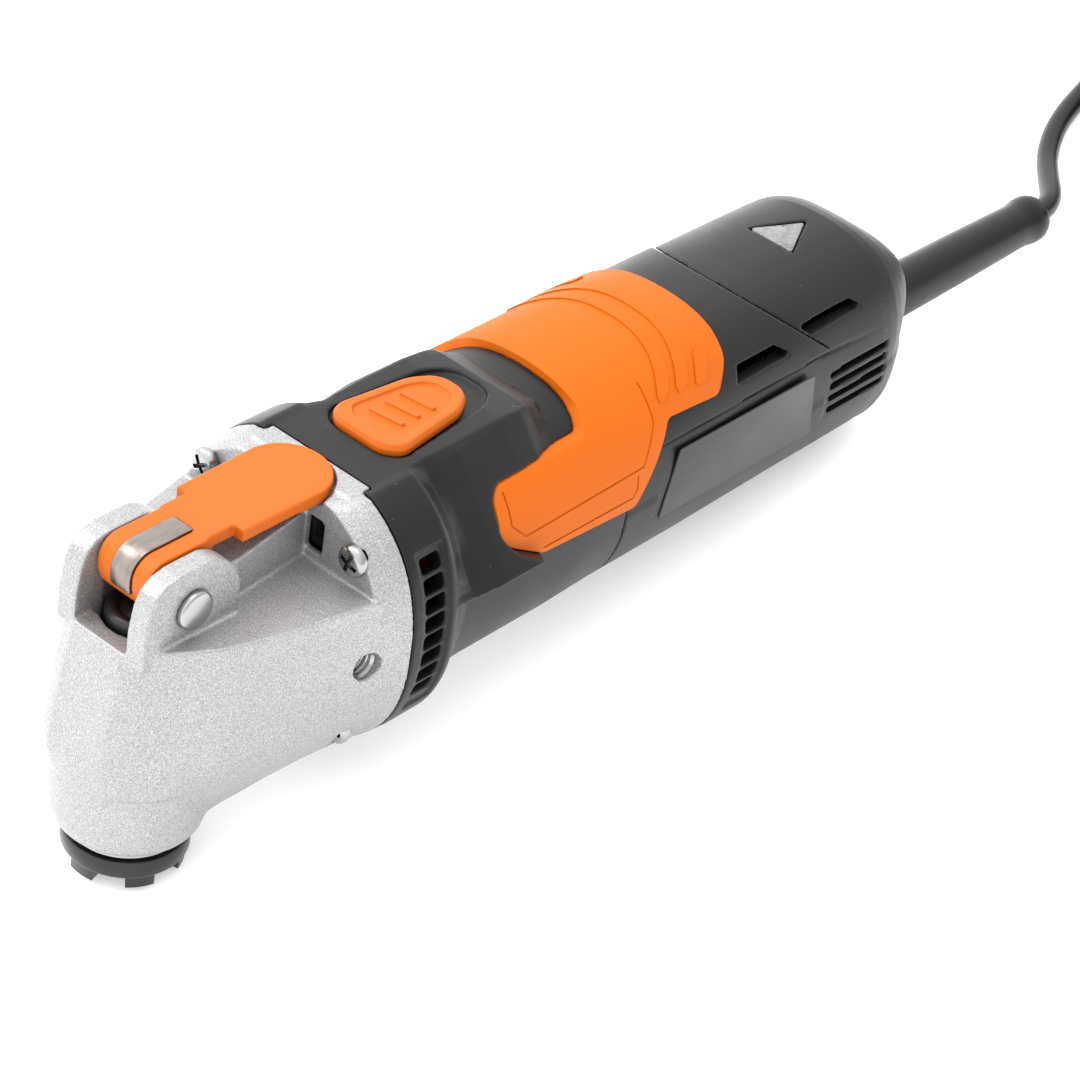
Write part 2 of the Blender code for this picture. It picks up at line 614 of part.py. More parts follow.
def housings(black, orange):
    """One hollow shell, parted along the leaning seam into the motor housing and the rear housing."""
    motor = make("motor_housing", *outer_shape(), black)
    cut(motor, inner_shape())
    recess = grip_tube(40.0, GRIP_IN - GAP, 78.0, 180.0)
    keep(recess, prism(grown(GRIP_SIDE, GAP), -60, 60, "xz"))
    boolean(motor, recess, "DIFFERENCE")
    rear = motor.copy()
    rear.data = motor.data.copy()
    rear.name = "rear_housing"
    rear.data.name = "rear_housing"
    bpy.context.scene.collection.objects.link(rear)
    top_x = SEAM_REAR_X - SEAM_LEAN * (50 - SEAM_Z)
    front_side = [(FLANGE_X - 5, -50), (SEAM_LOW_X, -50), (SEAM_LOW_X, SEAM_Z), (SEAM_REAR_X, SEAM_Z),
                  (top_x, 50), (FLANGE_X - 5, 50)]
    lean_gap = GAP * 1.7
    rear_side = [(SEAM_LOW_X + GAP, -50), (300, -50), (300, 50), (top_x + lean_gap, 50),
                 (SEAM_REAR_X + lean_gap + SEAM_LEAN * GAP, SEAM_Z - GAP), (SEAM_LOW_X + GAP, SEAM_Z - GAP)]
    keep(motor, prism(front_side, -60, 60, "xz"))
    keep(rear, prism(rear_side, -60, 60, "xz"))
    grip = grip_tube(GRIP_OUT, GRIP_IN, 78.0, 180.0)
    grip.name = "grip_overmould"
    grip.data.name = "grip_overmould"
    grip.data.materials.clear()
    grip.data.materials.append(orange)
    keep(grip, prism(GRIP_SIDE, -60, 60, "xz"))
    cut_motor_housing(motor)
    cut_rear_housing(rear)


def button_plan(grow_x, grow_y, x1=BUTTON_X1):
    """Outline of the switch button from above, wider at its front."""
    x0 = BUTTON_X0 - grow_x
    x1 = x1 + grow_x
    g = grow_y
    half = [(x1, 2.5 + g), (x1 - 1.6, 5.4 + g), (x1 - 7.0, 8.6 + g), (x0 + 3.6, 11.4 + g), (x0, 7.4 + g)]
    return [(x, -y) for x, y in reversed(half)] + half


def cut_motor_housing(motor):
    # Recess for the button, with the slot for its stem, and the lobe of the casting at the joint.
    cut(motor, prism(button_plan(0.5, 0.9, BUTTON_X1 + 6.2), 33.0, 50, "xy"))
    cut(motor, box((74.0, -3.2, 20.0), (94.5, 3.2, 40)))
    cut(motor, box((FLANGE_X - 6, -15.8, 23.6), (FLANGE_X + 3.2, 15.8, 50)))
    vents = []
    exhausts = []
    for side in (-1, 1):
        for k in range(8):
            verts, faces = box((55.4, 28.0, -1.75), (61.0, 45.0, 1.75))
            turn = Matrix.Rotation(math.radians(32.5 - 7.9 * k), 3, "X")
            moved = [turn @ Vector(v) for v in verts]
            vents.append(([(v.x, v.y * side, v.z) for v in moved], faces))
        slot = [(174.1, 18.1), (175.6, 21.7), (190.8, 21.7), (196.2, 18.3)]
        exhausts.append(prism(slot, side * 20.0, side * 40.0, "xz"))
    cut(motor, *vents)
    cut(motor, *exhausts)
    cut(motor, *(disc(2.3, 48, 64, 16, "x", (0, y, z)) for y, z in SCREWS))


def cut_rear_housing(rear):
    slot = [(206.0, 19.2), (202.2, 22.0), (223.2, 22.2), (227.4, 19.4)]
    openings = []
    seats = []
    for side in (-1, 1):
        openings.append(prism(slot, side * 20.0, side * 40.0, "xz"))
        for k in range(4):
            z = 6.6 - 3.6 * k
            bar = [(212.0 + 0.3 * k, z - 1.0), (236.5, z - 1.0), (236.5, z + 1.0), (211.7 + 0.3 * k, z + 1.0)]
            openings.append(prism(bar, side * 20.0, side * 40.0, "xz"))
        seats.append(prism(grown(LABEL, GAP), side * 30.2, side * 40.0, "xz"))
    cut(rear, *openings)
    cut(rear, *seats)
    cut(rear, prism(grown(LENS, GAP), 20, 40, "xy"))
    cut(rear, disc(6.4, 245, 275, 28, "x", (0, 0, GUARD_Z)))
    cut(rear, *(turned([(2.0, -20), (2.0, -29.6), (3.9, -29.6), (3.9, -36)], 18, "z", (x, y, 0))
                for x, y in HOUSING_SCREWS))


LABEL = [(145.0, -7.4), (149.2, 11.4), (202.4, 11.4), (205.4, -7.4)]
LENS = [(217.5, 7.0), (217.5, -7.0), (231.9, 0.0)]
HOUSING_SCREWS = [(150.0, 0.0), (210.0, 0.0)]


def trim(label, lens, steel, board, plastic):
    for i, side in enumerate((-1, 1)):
        y0, y1 = sorted((side * 30.5, side * 31.0))
        make(f"label_panel_{i + 1}", *prism(LABEL, y0, y1, "xz"), label)
    make("indicator_lens", *prism(LENS, 24.0, 30.1, "xy"), lens)
    for i, (x, y) in enumerate(HOUSING_SCREWS):
        prof = [(1.7, -16.0), (1.7, -29.9), (3.5, -29.9), (3.5, -30.4), (2.6, -30.9)]
        screw = make(f"housing_screw_{i + 1}", *turned(prof, 14, "z", (x, y, 0)), steel)
        for w, h in ((1.8, 0.4), (0.4, 1.8)):
            cut(screw, box((x - w, y - h, -33), (x + w, y + h, -30.3)))
    make("control_board", *box((205.0, -16.0, 15.6), (243.0, 16.0, 17.2)), board)
    make("switch_body", *box((172.0, -9.0, 6.0), (196.0, 9.0, 22.0)), plastic)
    make("cord_clamp", *box((234.0, -9.0, -22.0), (245.0, 9.0, -18.4)), plastic)


def switch_parts(orange, plastic):
    base = button_plan(0, 0)
    grow = [(x + (0.9 if x < 80 else -0.9), y * 0.90, BUTTON_TOP) for x, y in base]
    low = [(x, y, 33.3) for x, y in base]
    mid = [(x, y, BUTTON_TOP - 1.2) for x, y in base]
    button = make("switch_button", *rings([low, mid, grow]), orange)
    dish = [(x * 0.74 + 80.85 * 0.26, y * 0.66) for x, y in base]
    cut(button, prism(dish, BUTTON_TOP - 0.7, BUTTON_TOP + 3, "xy"))
    for x in (74.4, 79.6, 84.8):
        verts, faces = box((x - 0.65, -4.6, BUTTON_TOP - 1.4), (x + 0.65, 4.6, BUTTON_TOP))
        join(button, ([(a - 0.12 * b, b, c) for a, b, c in verts], faces))
    join(button, box((76.0, -2.6, 29.0), (86.0, 2.6, 34.0)))
    make("switch_link", *box((74.0, -4.0, 27.0), (160.0, 4.0, 28.2)), plastic)


# ---------------------------------------------------------------- cord

def guard(rubber):
    prof = [(3.5, 246.5), (9.2, 246.5), (9.2, 249.9), (5.8, 250.7), (5.8, 256.5), (7.7, 257.0), (7.3, 285.0),
            (6.6, 330.0), (6.3, 341.0), (6.9, 343.5), (6.9, 347.0), (6.2, GUARD_END_X), (3.5, GUARD_END_X)]
    make("cord_guard", *turned(prof, 18, "x", (0, 0, GUARD_Z), closed=True), rubber)


def smooth(points, count):
    """Evenly spaced points on a smooth curve through the given ones."""
    pts = [Vector(p) for p in points]
    pts = [2 * pts[0] - pts[1]] + pts + [2 * pts[-1] - pts[-2]]
    fine = []
    for i in range(1, len(pts) - 2):
        p0, p1, p2, p3 = pts[i - 1: i + 3]
        for k in range(40):
            t = k / 40
            fine.append(0.5 * (2 * p1 + (p2 - p0) * t + (2 * p0 - 5 * p1 + 4 * p2 - p3) * t * t
                               + (3 * p1 - p0 - 3 * p2 + p3) * t ** 3))
    fine.append(pts[-2])
    run = [0.0]
    for a, b in zip(fine, fine[1:]):
        run.append(run[-1] + (b - a).length)
    out = []
    for k in range(count):
        s = run[-1] * k / (count - 1)
        i = min(max(1, int(np.searchsorted(run, s))), len(fine) - 1)
        f = (s - run[i - 1]) / max(1e-9, run[i] - run[i - 1])
        out.append(fine[i - 1].lerp(fine[i], f))
    return out


def tube_curve(name, points, diameter, mat):
    curve = bpy.data.curves.new(name, "CURVE")
    curve.dimensions = "3D"
    curve.bevel_depth = diameter / 2
    curve.bevel_resolution = 2
    curve.use_fill_caps = True
    spline = curve.splines.new("POLY")
    spline.points.add(len(points) - 1)
    for point, p in zip(spline.points, points):
        point.co = (*p, 1)
    curve.materials.append(mat)
    obj = bpy.data.objects.new(name, curve)
    bpy.context.scene.collection.objects.link(obj)
    return obj


def cord_group(rubber, steel, tie):
    """The cord's own pieces: the run on the floor, the tied coil and the plug that lies on it."""
    tube_curve("mains_cord", smooth(ROUTE, ROUTE_POINTS), CORD_D, rubber)
    x, y = COIL_X / MM, COIL_Y / MM
    profile = [(COIL_IN, 4.0), (COIL_IN + 3.0, COIL_LOW), (COIL_OUT - 3.0, COIL_LOW), (COIL_OUT, 4.0),
               (COIL_OUT, 10.0), (COIL_OUT - 5.0, COIL_HIGH), (COIL_IN + 2.0, COIL_HIGH), (COIL_IN, 15.0)]
    make("cord_coil", *turned(profile, 32, "z", (x, y, 0.0), closed=True), rubber)
    cord_tie(x, y, tie)
    plug(x - 14.0, y - 36.0, COIL_HIGH + GAP, rubber, steel)


def cord_tie(x, y, mat):
    """A strap round the coil's turns, on the side away from the tool."""
    band = [(COIL_IN - 1.6, 0.2), (COIL_OUT + 0.8, 0.2), (COIL_OUT + 0.8, 10.4),
            (COIL_OUT - 4.4, COIL_HIGH + 0.9), (COIL_IN + 0.4, COIL_HIGH + 0.9), (COIL_IN - 1.6, 15.4)]
    hole = [(COIL_IN - 1.1, 0.7), (COIL_OUT + 0.3, 0.7), (COIL_OUT + 0.3, 10.1),
            (COIL_OUT - 4.8, COIL_HIGH + 0.4), (COIL_IN + 0.8, COIL_HIGH + 0.4), (COIL_IN - 1.1, 15.2)]
    strap = make("cord_tie", *prism([(x + r, z) for r, z in band], y - 5.0, y + 5.0, "xz"), mat)
    cut(strap, prism([(x + r, z) for r, z in hole], y - 8.0, y + 8.0, "xz"))


def plug(x, y, z, rubber, steel):
    """A two blade plug lying along x, blades towards the tool, with its underside at z."""
    stations = [(-31.0, 4.0, 4.0), (-14.0, 5.0, 5.0), (-13.0, 10.5, 8.0), (14.0, 12.5, 8.5),
                (17.0, 11.8, 8.0)]
    sections = []
    for u, w, h in stations:
        ring_points = (super_point(2 * math.pi * (k + 0.5) / 16, w, h, 3.0) for k in range(16))
        sections.append([(x - u, y + a, z + 8.5 + b) for a, b in ring_points])
    make("plug_body", *rings(sections), rubber)
    for i, side in enumerate((-1, 1)):
        across = y + side * 6.35
        blade = box((x - 34.0, across - 0.75, z + 5.4), (x - 17.3, across + 0.75, z + 11.7))
        make(f"plug_blade_{i + 1}", *blade, steel)


# ---------------------------------------------------------------- assembly

def empty(name, parent=None, at=(0.0, 0.0, 0.0)):
    """An empty at a point of the tool's frame."""
    obj = bpy.data.objects.new(name, None)
    bpy.context.scene.collection.objects.link(obj)
    obj.parent = parent
    obj.location = tuple(c * MM for c in at)
    return obj


def hang(parent, names, at):
    """Hangs built objects from an empty at this point without moving them."""
    back = Matrix.Translation([-c * MM for c in at])
    for name in names:
        obj = bpy.data.objects[name]
        obj.parent = parent
        obj.matrix_parent_inverse = back


def stand_up():
    """Hangs every piece of the tool on its joint's empty, then stands the tool on its lugs and its tail."""
    frame = empty("tool_frame")
    cord = {"mains_cord", "cord_coil", "cord_tie", "plug_body", "plug_blade_1", "plug_blade_2"}
    moving = set()
    for name, (at, names) in JOINTS.items():
        hang(empty(name, frame, at), names, at)
        moving.update(names)
    apart = moving | cord
    fixed = [o.name for o in bpy.data.objects if o.type == "MESH" and o.name not in apart]
    hang(frame, fixed, (0.0, 0.0, 0.0))
    pitch = math.atan2(TAIL_BOTTOM - LUG_BOTTOM, TAIL_CONTACT_X - LUG_REAR_X)
    lift = LUG_REAR_X * math.sin(pitch) - LUG_BOTTOM * math.cos(pitch)
    frame.rotation_euler = (0.0, pitch, 0.0)
    frame.location = (SHIFT_X * MM, 0.0, lift * MM)


def shade():
    """Smooth shading on every piece, broken only at its sharp edges."""
    for obj in bpy.data.objects:
        if obj.type != "MESH":
            continue
        for poly in obj.data.polygons:
            poly.use_smooth = True
        obj.data.set_sharp_from_angle(angle=math.radians(SHARP_DEGREES))


def main():
    clear_scene()
    aluminium = material("cast_aluminium", (0.72, 0.72, 0.72), 0.45, 0.9)
    orange = material("orange_plastic", (0.95, 0.27, 0.05), 0.45)
    soft = material("orange_rubber", (0.92, 0.27, 0.03), 0.6)
    black = material("black_plastic", (0.03, 0.03, 0.032), 0.5)
    rubber = material("black_rubber", (0.02, 0.02, 0.02), 0.6)
    steel = material("bright_steel", (0.62, 0.62, 0.60), 0.3, 1.0)
    dark = material("black_steel", (0.06, 0.06, 0.06), 0.35, 0.8)
    lens = material("clear_lens", (0.55, 0.56, 0.56), 0.2)
    label = material("grey_label", (0.10, 0.10, 0.105), 0.4)
    copper = material("copper_winding", (0.45, 0.18, 0.08), 0.4, 0.8)
    brass = material("brass", (0.6, 0.42, 0.16), 0.35, 1.0)
    iron = material("laminated_iron", (0.25, 0.25, 0.26), 0.5, 0.8)
    carbon = material("carbon", (0.04, 0.04, 0.04), 0.7)
    board = material("board_green", (0.03, 0.18, 0.07), 0.5)
    inner = material("inner_plastic", (0.10, 0.10, 0.10), 0.5)
    gear_head(aluminium)
    head_screws(steel)
    clamp_lever(orange)
    clamp_parts(steel, dark)
    spindle_group(steel, dark)
    motor_group(steel, copper, iron, inner, carbon, brass)
    housings(black, soft)
    trim(label, lens, steel, board, inner)
    switch_parts(orange, inner)
    guard(rubber)
    cord_group(rubber, steel, inner)
    stand_up()
    shade()


main()
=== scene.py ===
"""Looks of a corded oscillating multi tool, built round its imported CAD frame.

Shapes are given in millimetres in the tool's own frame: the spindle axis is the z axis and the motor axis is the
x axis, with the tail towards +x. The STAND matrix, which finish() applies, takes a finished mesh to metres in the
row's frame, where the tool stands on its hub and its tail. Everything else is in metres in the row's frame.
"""

import json
import math

import bmesh
import bpy
import numpy as np
from mathutils import Matrix, Vector


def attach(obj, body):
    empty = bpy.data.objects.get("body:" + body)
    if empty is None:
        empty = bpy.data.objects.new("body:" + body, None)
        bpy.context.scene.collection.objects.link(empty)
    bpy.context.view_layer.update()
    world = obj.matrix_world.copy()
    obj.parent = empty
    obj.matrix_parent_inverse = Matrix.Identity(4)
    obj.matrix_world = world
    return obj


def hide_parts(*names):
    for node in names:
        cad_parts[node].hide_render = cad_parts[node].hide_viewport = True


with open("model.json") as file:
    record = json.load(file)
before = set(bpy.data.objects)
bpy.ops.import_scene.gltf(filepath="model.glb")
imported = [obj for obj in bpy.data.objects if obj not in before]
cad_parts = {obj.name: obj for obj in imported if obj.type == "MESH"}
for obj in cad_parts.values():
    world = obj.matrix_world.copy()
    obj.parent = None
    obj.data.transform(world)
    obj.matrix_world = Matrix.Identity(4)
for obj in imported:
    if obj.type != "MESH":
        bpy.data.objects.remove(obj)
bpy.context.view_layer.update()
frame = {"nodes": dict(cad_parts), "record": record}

MM = 0.001
GAP = 0.3
COARSE = 1.0

# Camera, light and floor.
LENS_MM = 122.83
CAMERA_AT = (-0.574536, -0.444761, 0.608573)
CAMERA_RIGHT = (0.67011, -0.73941, 0.06499)
CAMERA_UP = (0.44643, 0.47144, 0.76055)
LIT_POINT = (0.0, 0.0, 0.03)
# Name, place, size and power of each lamp.
LAMPS = [("key", (-0.45, 0.95, 1.25), 0.8, 10.0), ("overhead", (0.1, 0.1, 1.7), 1.0, 8.0)]
DOME_DIM = 1.15
DOME_BRIGHT = 2.9
DOME_TOWARDS = (-0.35, 0.62, 0.70)
FLOOR_HALF = 6.0
FLOOR_DROP = 0.0002
FLOOR_GLOW = 0.22

# How much of a cast surface's tone its bright and dark grains make.
FLECK_SHARE = 0.6

# How finely moulded and cast pieces are meshed.
SHELL_VOXEL = 0.4
LEVER_VOXEL = 0.3
BUTTON_VOXEL = 0.24
ROUND_STEPS = 112

# Stance: the rear lugs and the underside of the tail touch the floor.
LUG_BOTTOM = -53.2
LUG_REAR_X = 13.99
TAIL_CONTACT_X = 238.0
TAIL_BOTTOM = -31.0
SHIFT_X = -162.47
PITCH = math.atan2(TAIL_BOTTOM - LUG_BOTTOM, TAIL_CONTACT_X - LUG_REAR_X)
LIFT = LUG_REAR_X * math.sin(PITCH) - LUG_BOTTOM * math.cos(PITCH)
STAND = Matrix.Scale(MM, 4) @ Matrix.Translation((SHIFT_X, 0, LIFT)) @ Matrix.Rotation(PITCH, 4, "Y")

# Head casting.
FLANGE_X = 50.2
FLANGE_A = 36.0
FLANGE_B = 37.6
SHELF_Z = 16.4
WALL_X = 42.2
EAR_IN = 8.1
EAR_OUT = 13.6
EAR_X = 3.1
EAR_Z = 22.8
PIN_X = 0.8
PIN_Z = 24.0
COLLAR_BOTTOM = -42.0
SIDE_HOLE_X = 39.5
FLANK = [(-14.6, 9.5), (-12, 13.6), (-8, 15.8), (-4, 18.4), (3, 22.4), (10, 24.8), (20, 27.6), (30, 29.7),
         (46, 33.2)]
SCREWS = [(-23.6, 24.3), (23.6, 24.3), (-25.0, -22.7), (25.0, -22.7)]
SCREW_FACE_X = 41.1

# Clamp.
LEVER_TOP = 35.3
LEVER_THICK = 3.2
LEVER_HALF = 10.7
LEVER_END_X = 52.2
LEVER_END_R = 10.9
NOSE_HALF = 7.6
NOSE_FRONT_X = -8.0
NOSE_TOP = 34.7
NOSE_BEND_R = 5.5
NOSE_SWEEP_R = 12.3
CAP_TOP = 17.6
CAP_R = 8.8

# Housings.
BARREL = 31.3
BARREL_N = 2.3
SEAM_LOW_X = 130.6
SEAM_Z = 14.0
SEAM_REAR_X = 211.5
SEAM_LEAN = 1.35
TAIL_X = 256.2
GRIP_OUT = 32.9
GRIP_IN = 30.7
PLATFORM_END_X = 113.0
PLATFORM_LEAN = math.radians(38)
GRIP_SIDE = [(121.6, 36.5), (121.6, 29.0), (118.6, 24.6), (87.6, 24.2), (84.6, 21.8), (83.6, 15.0),
             (86.4, 11.4), (98.0, 5.2), (131.6, 3.4), (146.2, 20.4), (165.0, 19.6), (171.6, 25.4),
             (173.4, 30.0), (173.4, 36.5)]
PANEL_LINE = [(88.1, 23.0), (87.9, 15.8), (92.0, 12.0), (134.6, 12.9), (141.0, 21.0), (142.0, 28.0)]
LOWER_LINE = [(98.0, 6.6), (130.4, 6.4), (132.0, 8.2), (132.4, 11.6)]
LABEL = [(145.0, -7.4), (149.2, 11.4), (202.4, 11.4), (205.4, -7.4)]
LENS = [(217.5, 7.0), (217.5, -7.0), (231.9, 0.0)]
HOUSING_SCREWS = [(150.0, 0.0), (210.0, 0.0)]
RIB_ROUND = 1.2
BUTTON_TOP = 36.2
BUTTON_X0 = 64.5
BUTTON_X1 = 97.2

# Cord.
GUARD_END_X = 349.0
GUARD_Z = -10.8
CORD_D = 0.0064
CORD_STEP = 0.004
ROUTE = [
    (0.18406, 0.0000, 0.0091), (0.1880, 0.0002, 0.0087), (0.1925, 0.0011, 0.0081), (0.1970, 0.0030, 0.0073),
    (0.2012, 0.0057, 0.0064), (0.2055, 0.0091, 0.0055), (0.2100, 0.0126, 0.0046), (0.2150, 0.0164, 0.0038),
    (0.2203, 0.0200, 0.0034), (0.2260, 0.0232, 0.0033), (0.2320, 0.0260, 0.0033), (0.2385, 0.0284, 0.0033),
    (0.2455, 0.0303, 0.0033), (0.2525, 0.0318, 0.0034), (0.2590, 0.0330, 0.0036), (0.2652, 0.0339, 0.0040),
    (0.2712, 0.0345, 0.0042),
]
COIL_X = 0.2960
COIL_Y = -0.0080
COIL_START = 97.0
TURN_STEPS = 30
# Share of a turn in which the cord moves over to the next one.
SHIFT_SHARE = 0.22
# Radius and height of each turn of the coil, in millimetres, from the outside of the lowest layer.
TURNS = [(42.6, 4.2), (36.2, 4.2), (29.8, 4.2), (33.0, 9.9), (39.4, 9.9), (36.2, 15.6), (29.8, 15.6)]
# The last run, out over the top turns and round to the plug's tail.
TO_PLUG = [
    (0.3135, 0.0188, 0.0178), (0.3262, 0.0110, 0.0212), (0.3353, 0.0005, 0.0242), (0.3402, -0.0115, 0.0262),
    (0.3392, -0.0245, 0.0270), (0.3330, -0.0350, 0.0273), (0.3240, -0.0415, 0.0273), (0.3135, -0.0440, 0.0273),
]


# ---------------------------------------------------------------- camera, light and floor

def make_camera():
    data = bpy.data.cameras.new("view")
    data.sensor_width = 36.0
    data.lens = LENS_MM
    data.clip_start = 0.05
    data.clip_end = 20.0
    cam = bpy.data.objects.new("view", data)
    bpy.context.scene.collection.objects.link(cam)
    right = Vector(CAMERA_RIGHT)
    up = Vector(CAMERA_UP)
    back = right.cross(up).normalized()
    up = back.cross(right).normalized()
    turn = Matrix((right.normalized(), up, back)).transposed().to_4x4()
    cam.matrix_world = Matrix.Translation(CAMERA_AT) @ turn
    bpy.context.scene.camera = cam


def area_light(name, at, size, power):
    data = bpy.data.lights.new(name, "AREA")
    data.shape = "DISK"
    data.size = size
    data.energy = power
    obj = bpy.data.objects.new(name, data)
    obj.location = at
    obj.rotation_euler = (Vector(LIT_POINT) - Vector(at)).to_track_quat("-Z", "Y").to_euler()
    bpy.context.scene.collection.objects.link(obj)


def soft_dome(tree):
    """An even white dome, brighter behind the tool and overhead than on the side of the viewer."""
    coord = tree.nodes.new("ShaderNodeTexCoord").outputs["Generated"]
    across = tree.nodes.new("ShaderNodeVectorMath")
    across.operation = "DOT_PRODUCT"
    across.inputs[1].default_value = DOME_TOWARDS
    link(tree, coord, across.inputs[0])
    background = tree.nodes["Background"]
    background.inputs["Color"].default_value = (1.0, 1.0, 1.0, 1)
    link(tree, ranged(tree, across.outputs["Value"], -0.6, 1.0, DOME_DIM, DOME_BRIGHT),
         background.inputs["Strength"])


def make_stage():
    scene = bpy.context.scene
    scene.view_settings.view_transform = "Standard"
    scene.view_settings.look = "None"
    world = bpy.data.worlds.new("studio")
    scene.world = world
    world.use_nodes = True
    soft_dome(world.node_tree)
    for lamp in LAMPS:
        area_light(*lamp)
    mesh = bpy.data.meshes.new("floor")
    s = FLOOR_HALF
    mesh.from_pydata([(-s, -s, 0), (s, -s, 0), (s, s, 0), (-s, s, 0)], [], [(0, 1, 2, 3)])
    floor = bpy.data.objects.new("floor", mesh)
    scene.collection.objects.link(floor)
    floor.location.z = -FLOOR_DROP
    look = surface("pale_floor", (0.93, 0.93, 0.93), 0.75, tone=0.004, bump=0.0)
    look.node_tree.nodes["Principled BSDF"].inputs["Emission Strength"].default_value = FLOOR_GLOW
    mesh.materials.append(look)


# ---------------------------------------------------------------- materials

def link(tree, a, b):
    tree.links.new(a, b)


def noise(tree, coord, scale, detail=2.0, rough=0.5):
    node = tree.nodes.new("ShaderNodeTexNoise")
    node.inputs["Scale"].default_value = scale
    node.inputs["Detail"].default_value = detail
    node.inputs["Roughness"].default_value = rough
    link(tree, coord, node.inputs["Vector"])
    return node.outputs["Fac"]


def ranged(tree, value, lo, hi, to_lo, to_hi):
    node = tree.nodes.new("ShaderNodeMapRange")
    node.inputs["From Min"].default_value = lo
    node.inputs["From Max"].default_value = hi
    node.inputs["To Min"].default_value = to_lo
    node.inputs["To Max"].default_value = to_hi
    link(tree, value, node.inputs["Value"])
    return node.outputs["Result"]


def mixed(tree, fac, a, b):
    """Colour between a and b, each a colour or a socket."""
    node = tree.nodes.new("ShaderNodeMix")
    node.data_type = "RGBA"
    link(tree, fac, node.inputs["Factor"])
    for socket, value in ((node.inputs["A"], a), (node.inputs["B"], b)):
        if isinstance(value, tuple):
            socket.default_value = (*value, 1)
        else:
            link(tree, value, socket)
    return node.outputs["Result"]


def flecked(tree, tint, fine, color, sparkle):
    """The tint with brighter and darker grains laid over it."""
    bright = ranged(tree, fine, 0.42, 0.62, 0.0, 1.0)
    low = tuple(c * (1 - sparkle) for c in color)
    high = tuple(min(1.0, c * (1 + sparkle)) for c in color)
    flecks = mixed(tree, bright, low, high)
    both = tree.nodes.new("ShaderNodeMix")
    both.data_type = "RGBA"
    both.inputs["Factor"].default_value = FLECK_SHARE
    link(tree, tint, both.inputs["A"])
    link(tree, flecks, both.inputs["B"])
    return both.outputs["Result"]


def surface(name, color, rough, metal=0.0, tone=0.08, blotch=30.0, spread=0.06, grain=1600.0, bump=0.2,
            depth=0.0001, sparkle=0.0, specular=0.5, stretch=None, worn=0.0, dust=0.0):
    """A material with slow tone changes, a fine grain in its relief and, on metal, brighter grains."""
    mat = bpy.data.materials.get(name)
    if mat:
        return mat
    mat = bpy.data.materials.new(name)
    mat.use_nodes = True
    tree = mat.node_tree
    bsdf = tree.nodes["Principled BSDF"]
    coord = tree.nodes.new("ShaderNodeTexCoord").outputs["Object"]
    if stretch:
        scaled = tree.nodes.new("ShaderNodeMapping")
        scaled.inputs["Scale"].default_value = stretch
        link(tree, coord, scaled.inputs["Vector"])
        coord = scaled.outputs["Vector"]
    slow = noise(tree, coord, blotch, 4.0, 0.6)
    fine = noise(tree, coord, grain, 2.0, 0.6)
    fac = ranged(tree, slow, 0.3, 0.7, 0.0, 1.0)
    dark = tuple(max(0.0, c * (1 - tone)) for c in color)
    light = tuple(min(1.0, c * (1 + tone)) for c in color)
    tint = mixed(tree, fac, dark, light)
    if sparkle:
        tint = flecked(tree, tint, fine, color, sparkle)
    if worn:
        marks = noise(tree, coord, 140.0, 6.0, 0.75)
        spots = ranged(tree, marks, 0.66, 0.72, 0.0, worn)
        tint = mixed(tree, spots, tint, tuple(c * 0.45 for c in color))
    if dust:
        specks = noise(tree, coord, 900.0, 1.0, 0.5)
        tint = mixed(tree, ranged(tree, specks, 0.80, 0.83, 0.0, dust), tint, (0.2, 0.2, 0.2))
    link(tree, tint, bsdf.inputs["Base Color"])
    link(tree, ranged(tree, slow, 0.3, 0.7, rough - spread, rough + spread), bsdf.inputs["Roughness"])
    bsdf.inputs["Metallic"].default_value = metal
    bsdf.inputs["Specular IOR Level"].default_value = specular
    if bump:
        node = tree.nodes.new("ShaderNodeBump")
        node.inputs["Strength"].default_value = bump
        node.inputs["Distance"].default_value = depth
        link(tree, fine, node.inputs["Height"])
        link(tree, node.outputs["Normal"], bsdf.inputs["Normal"])
    return mat


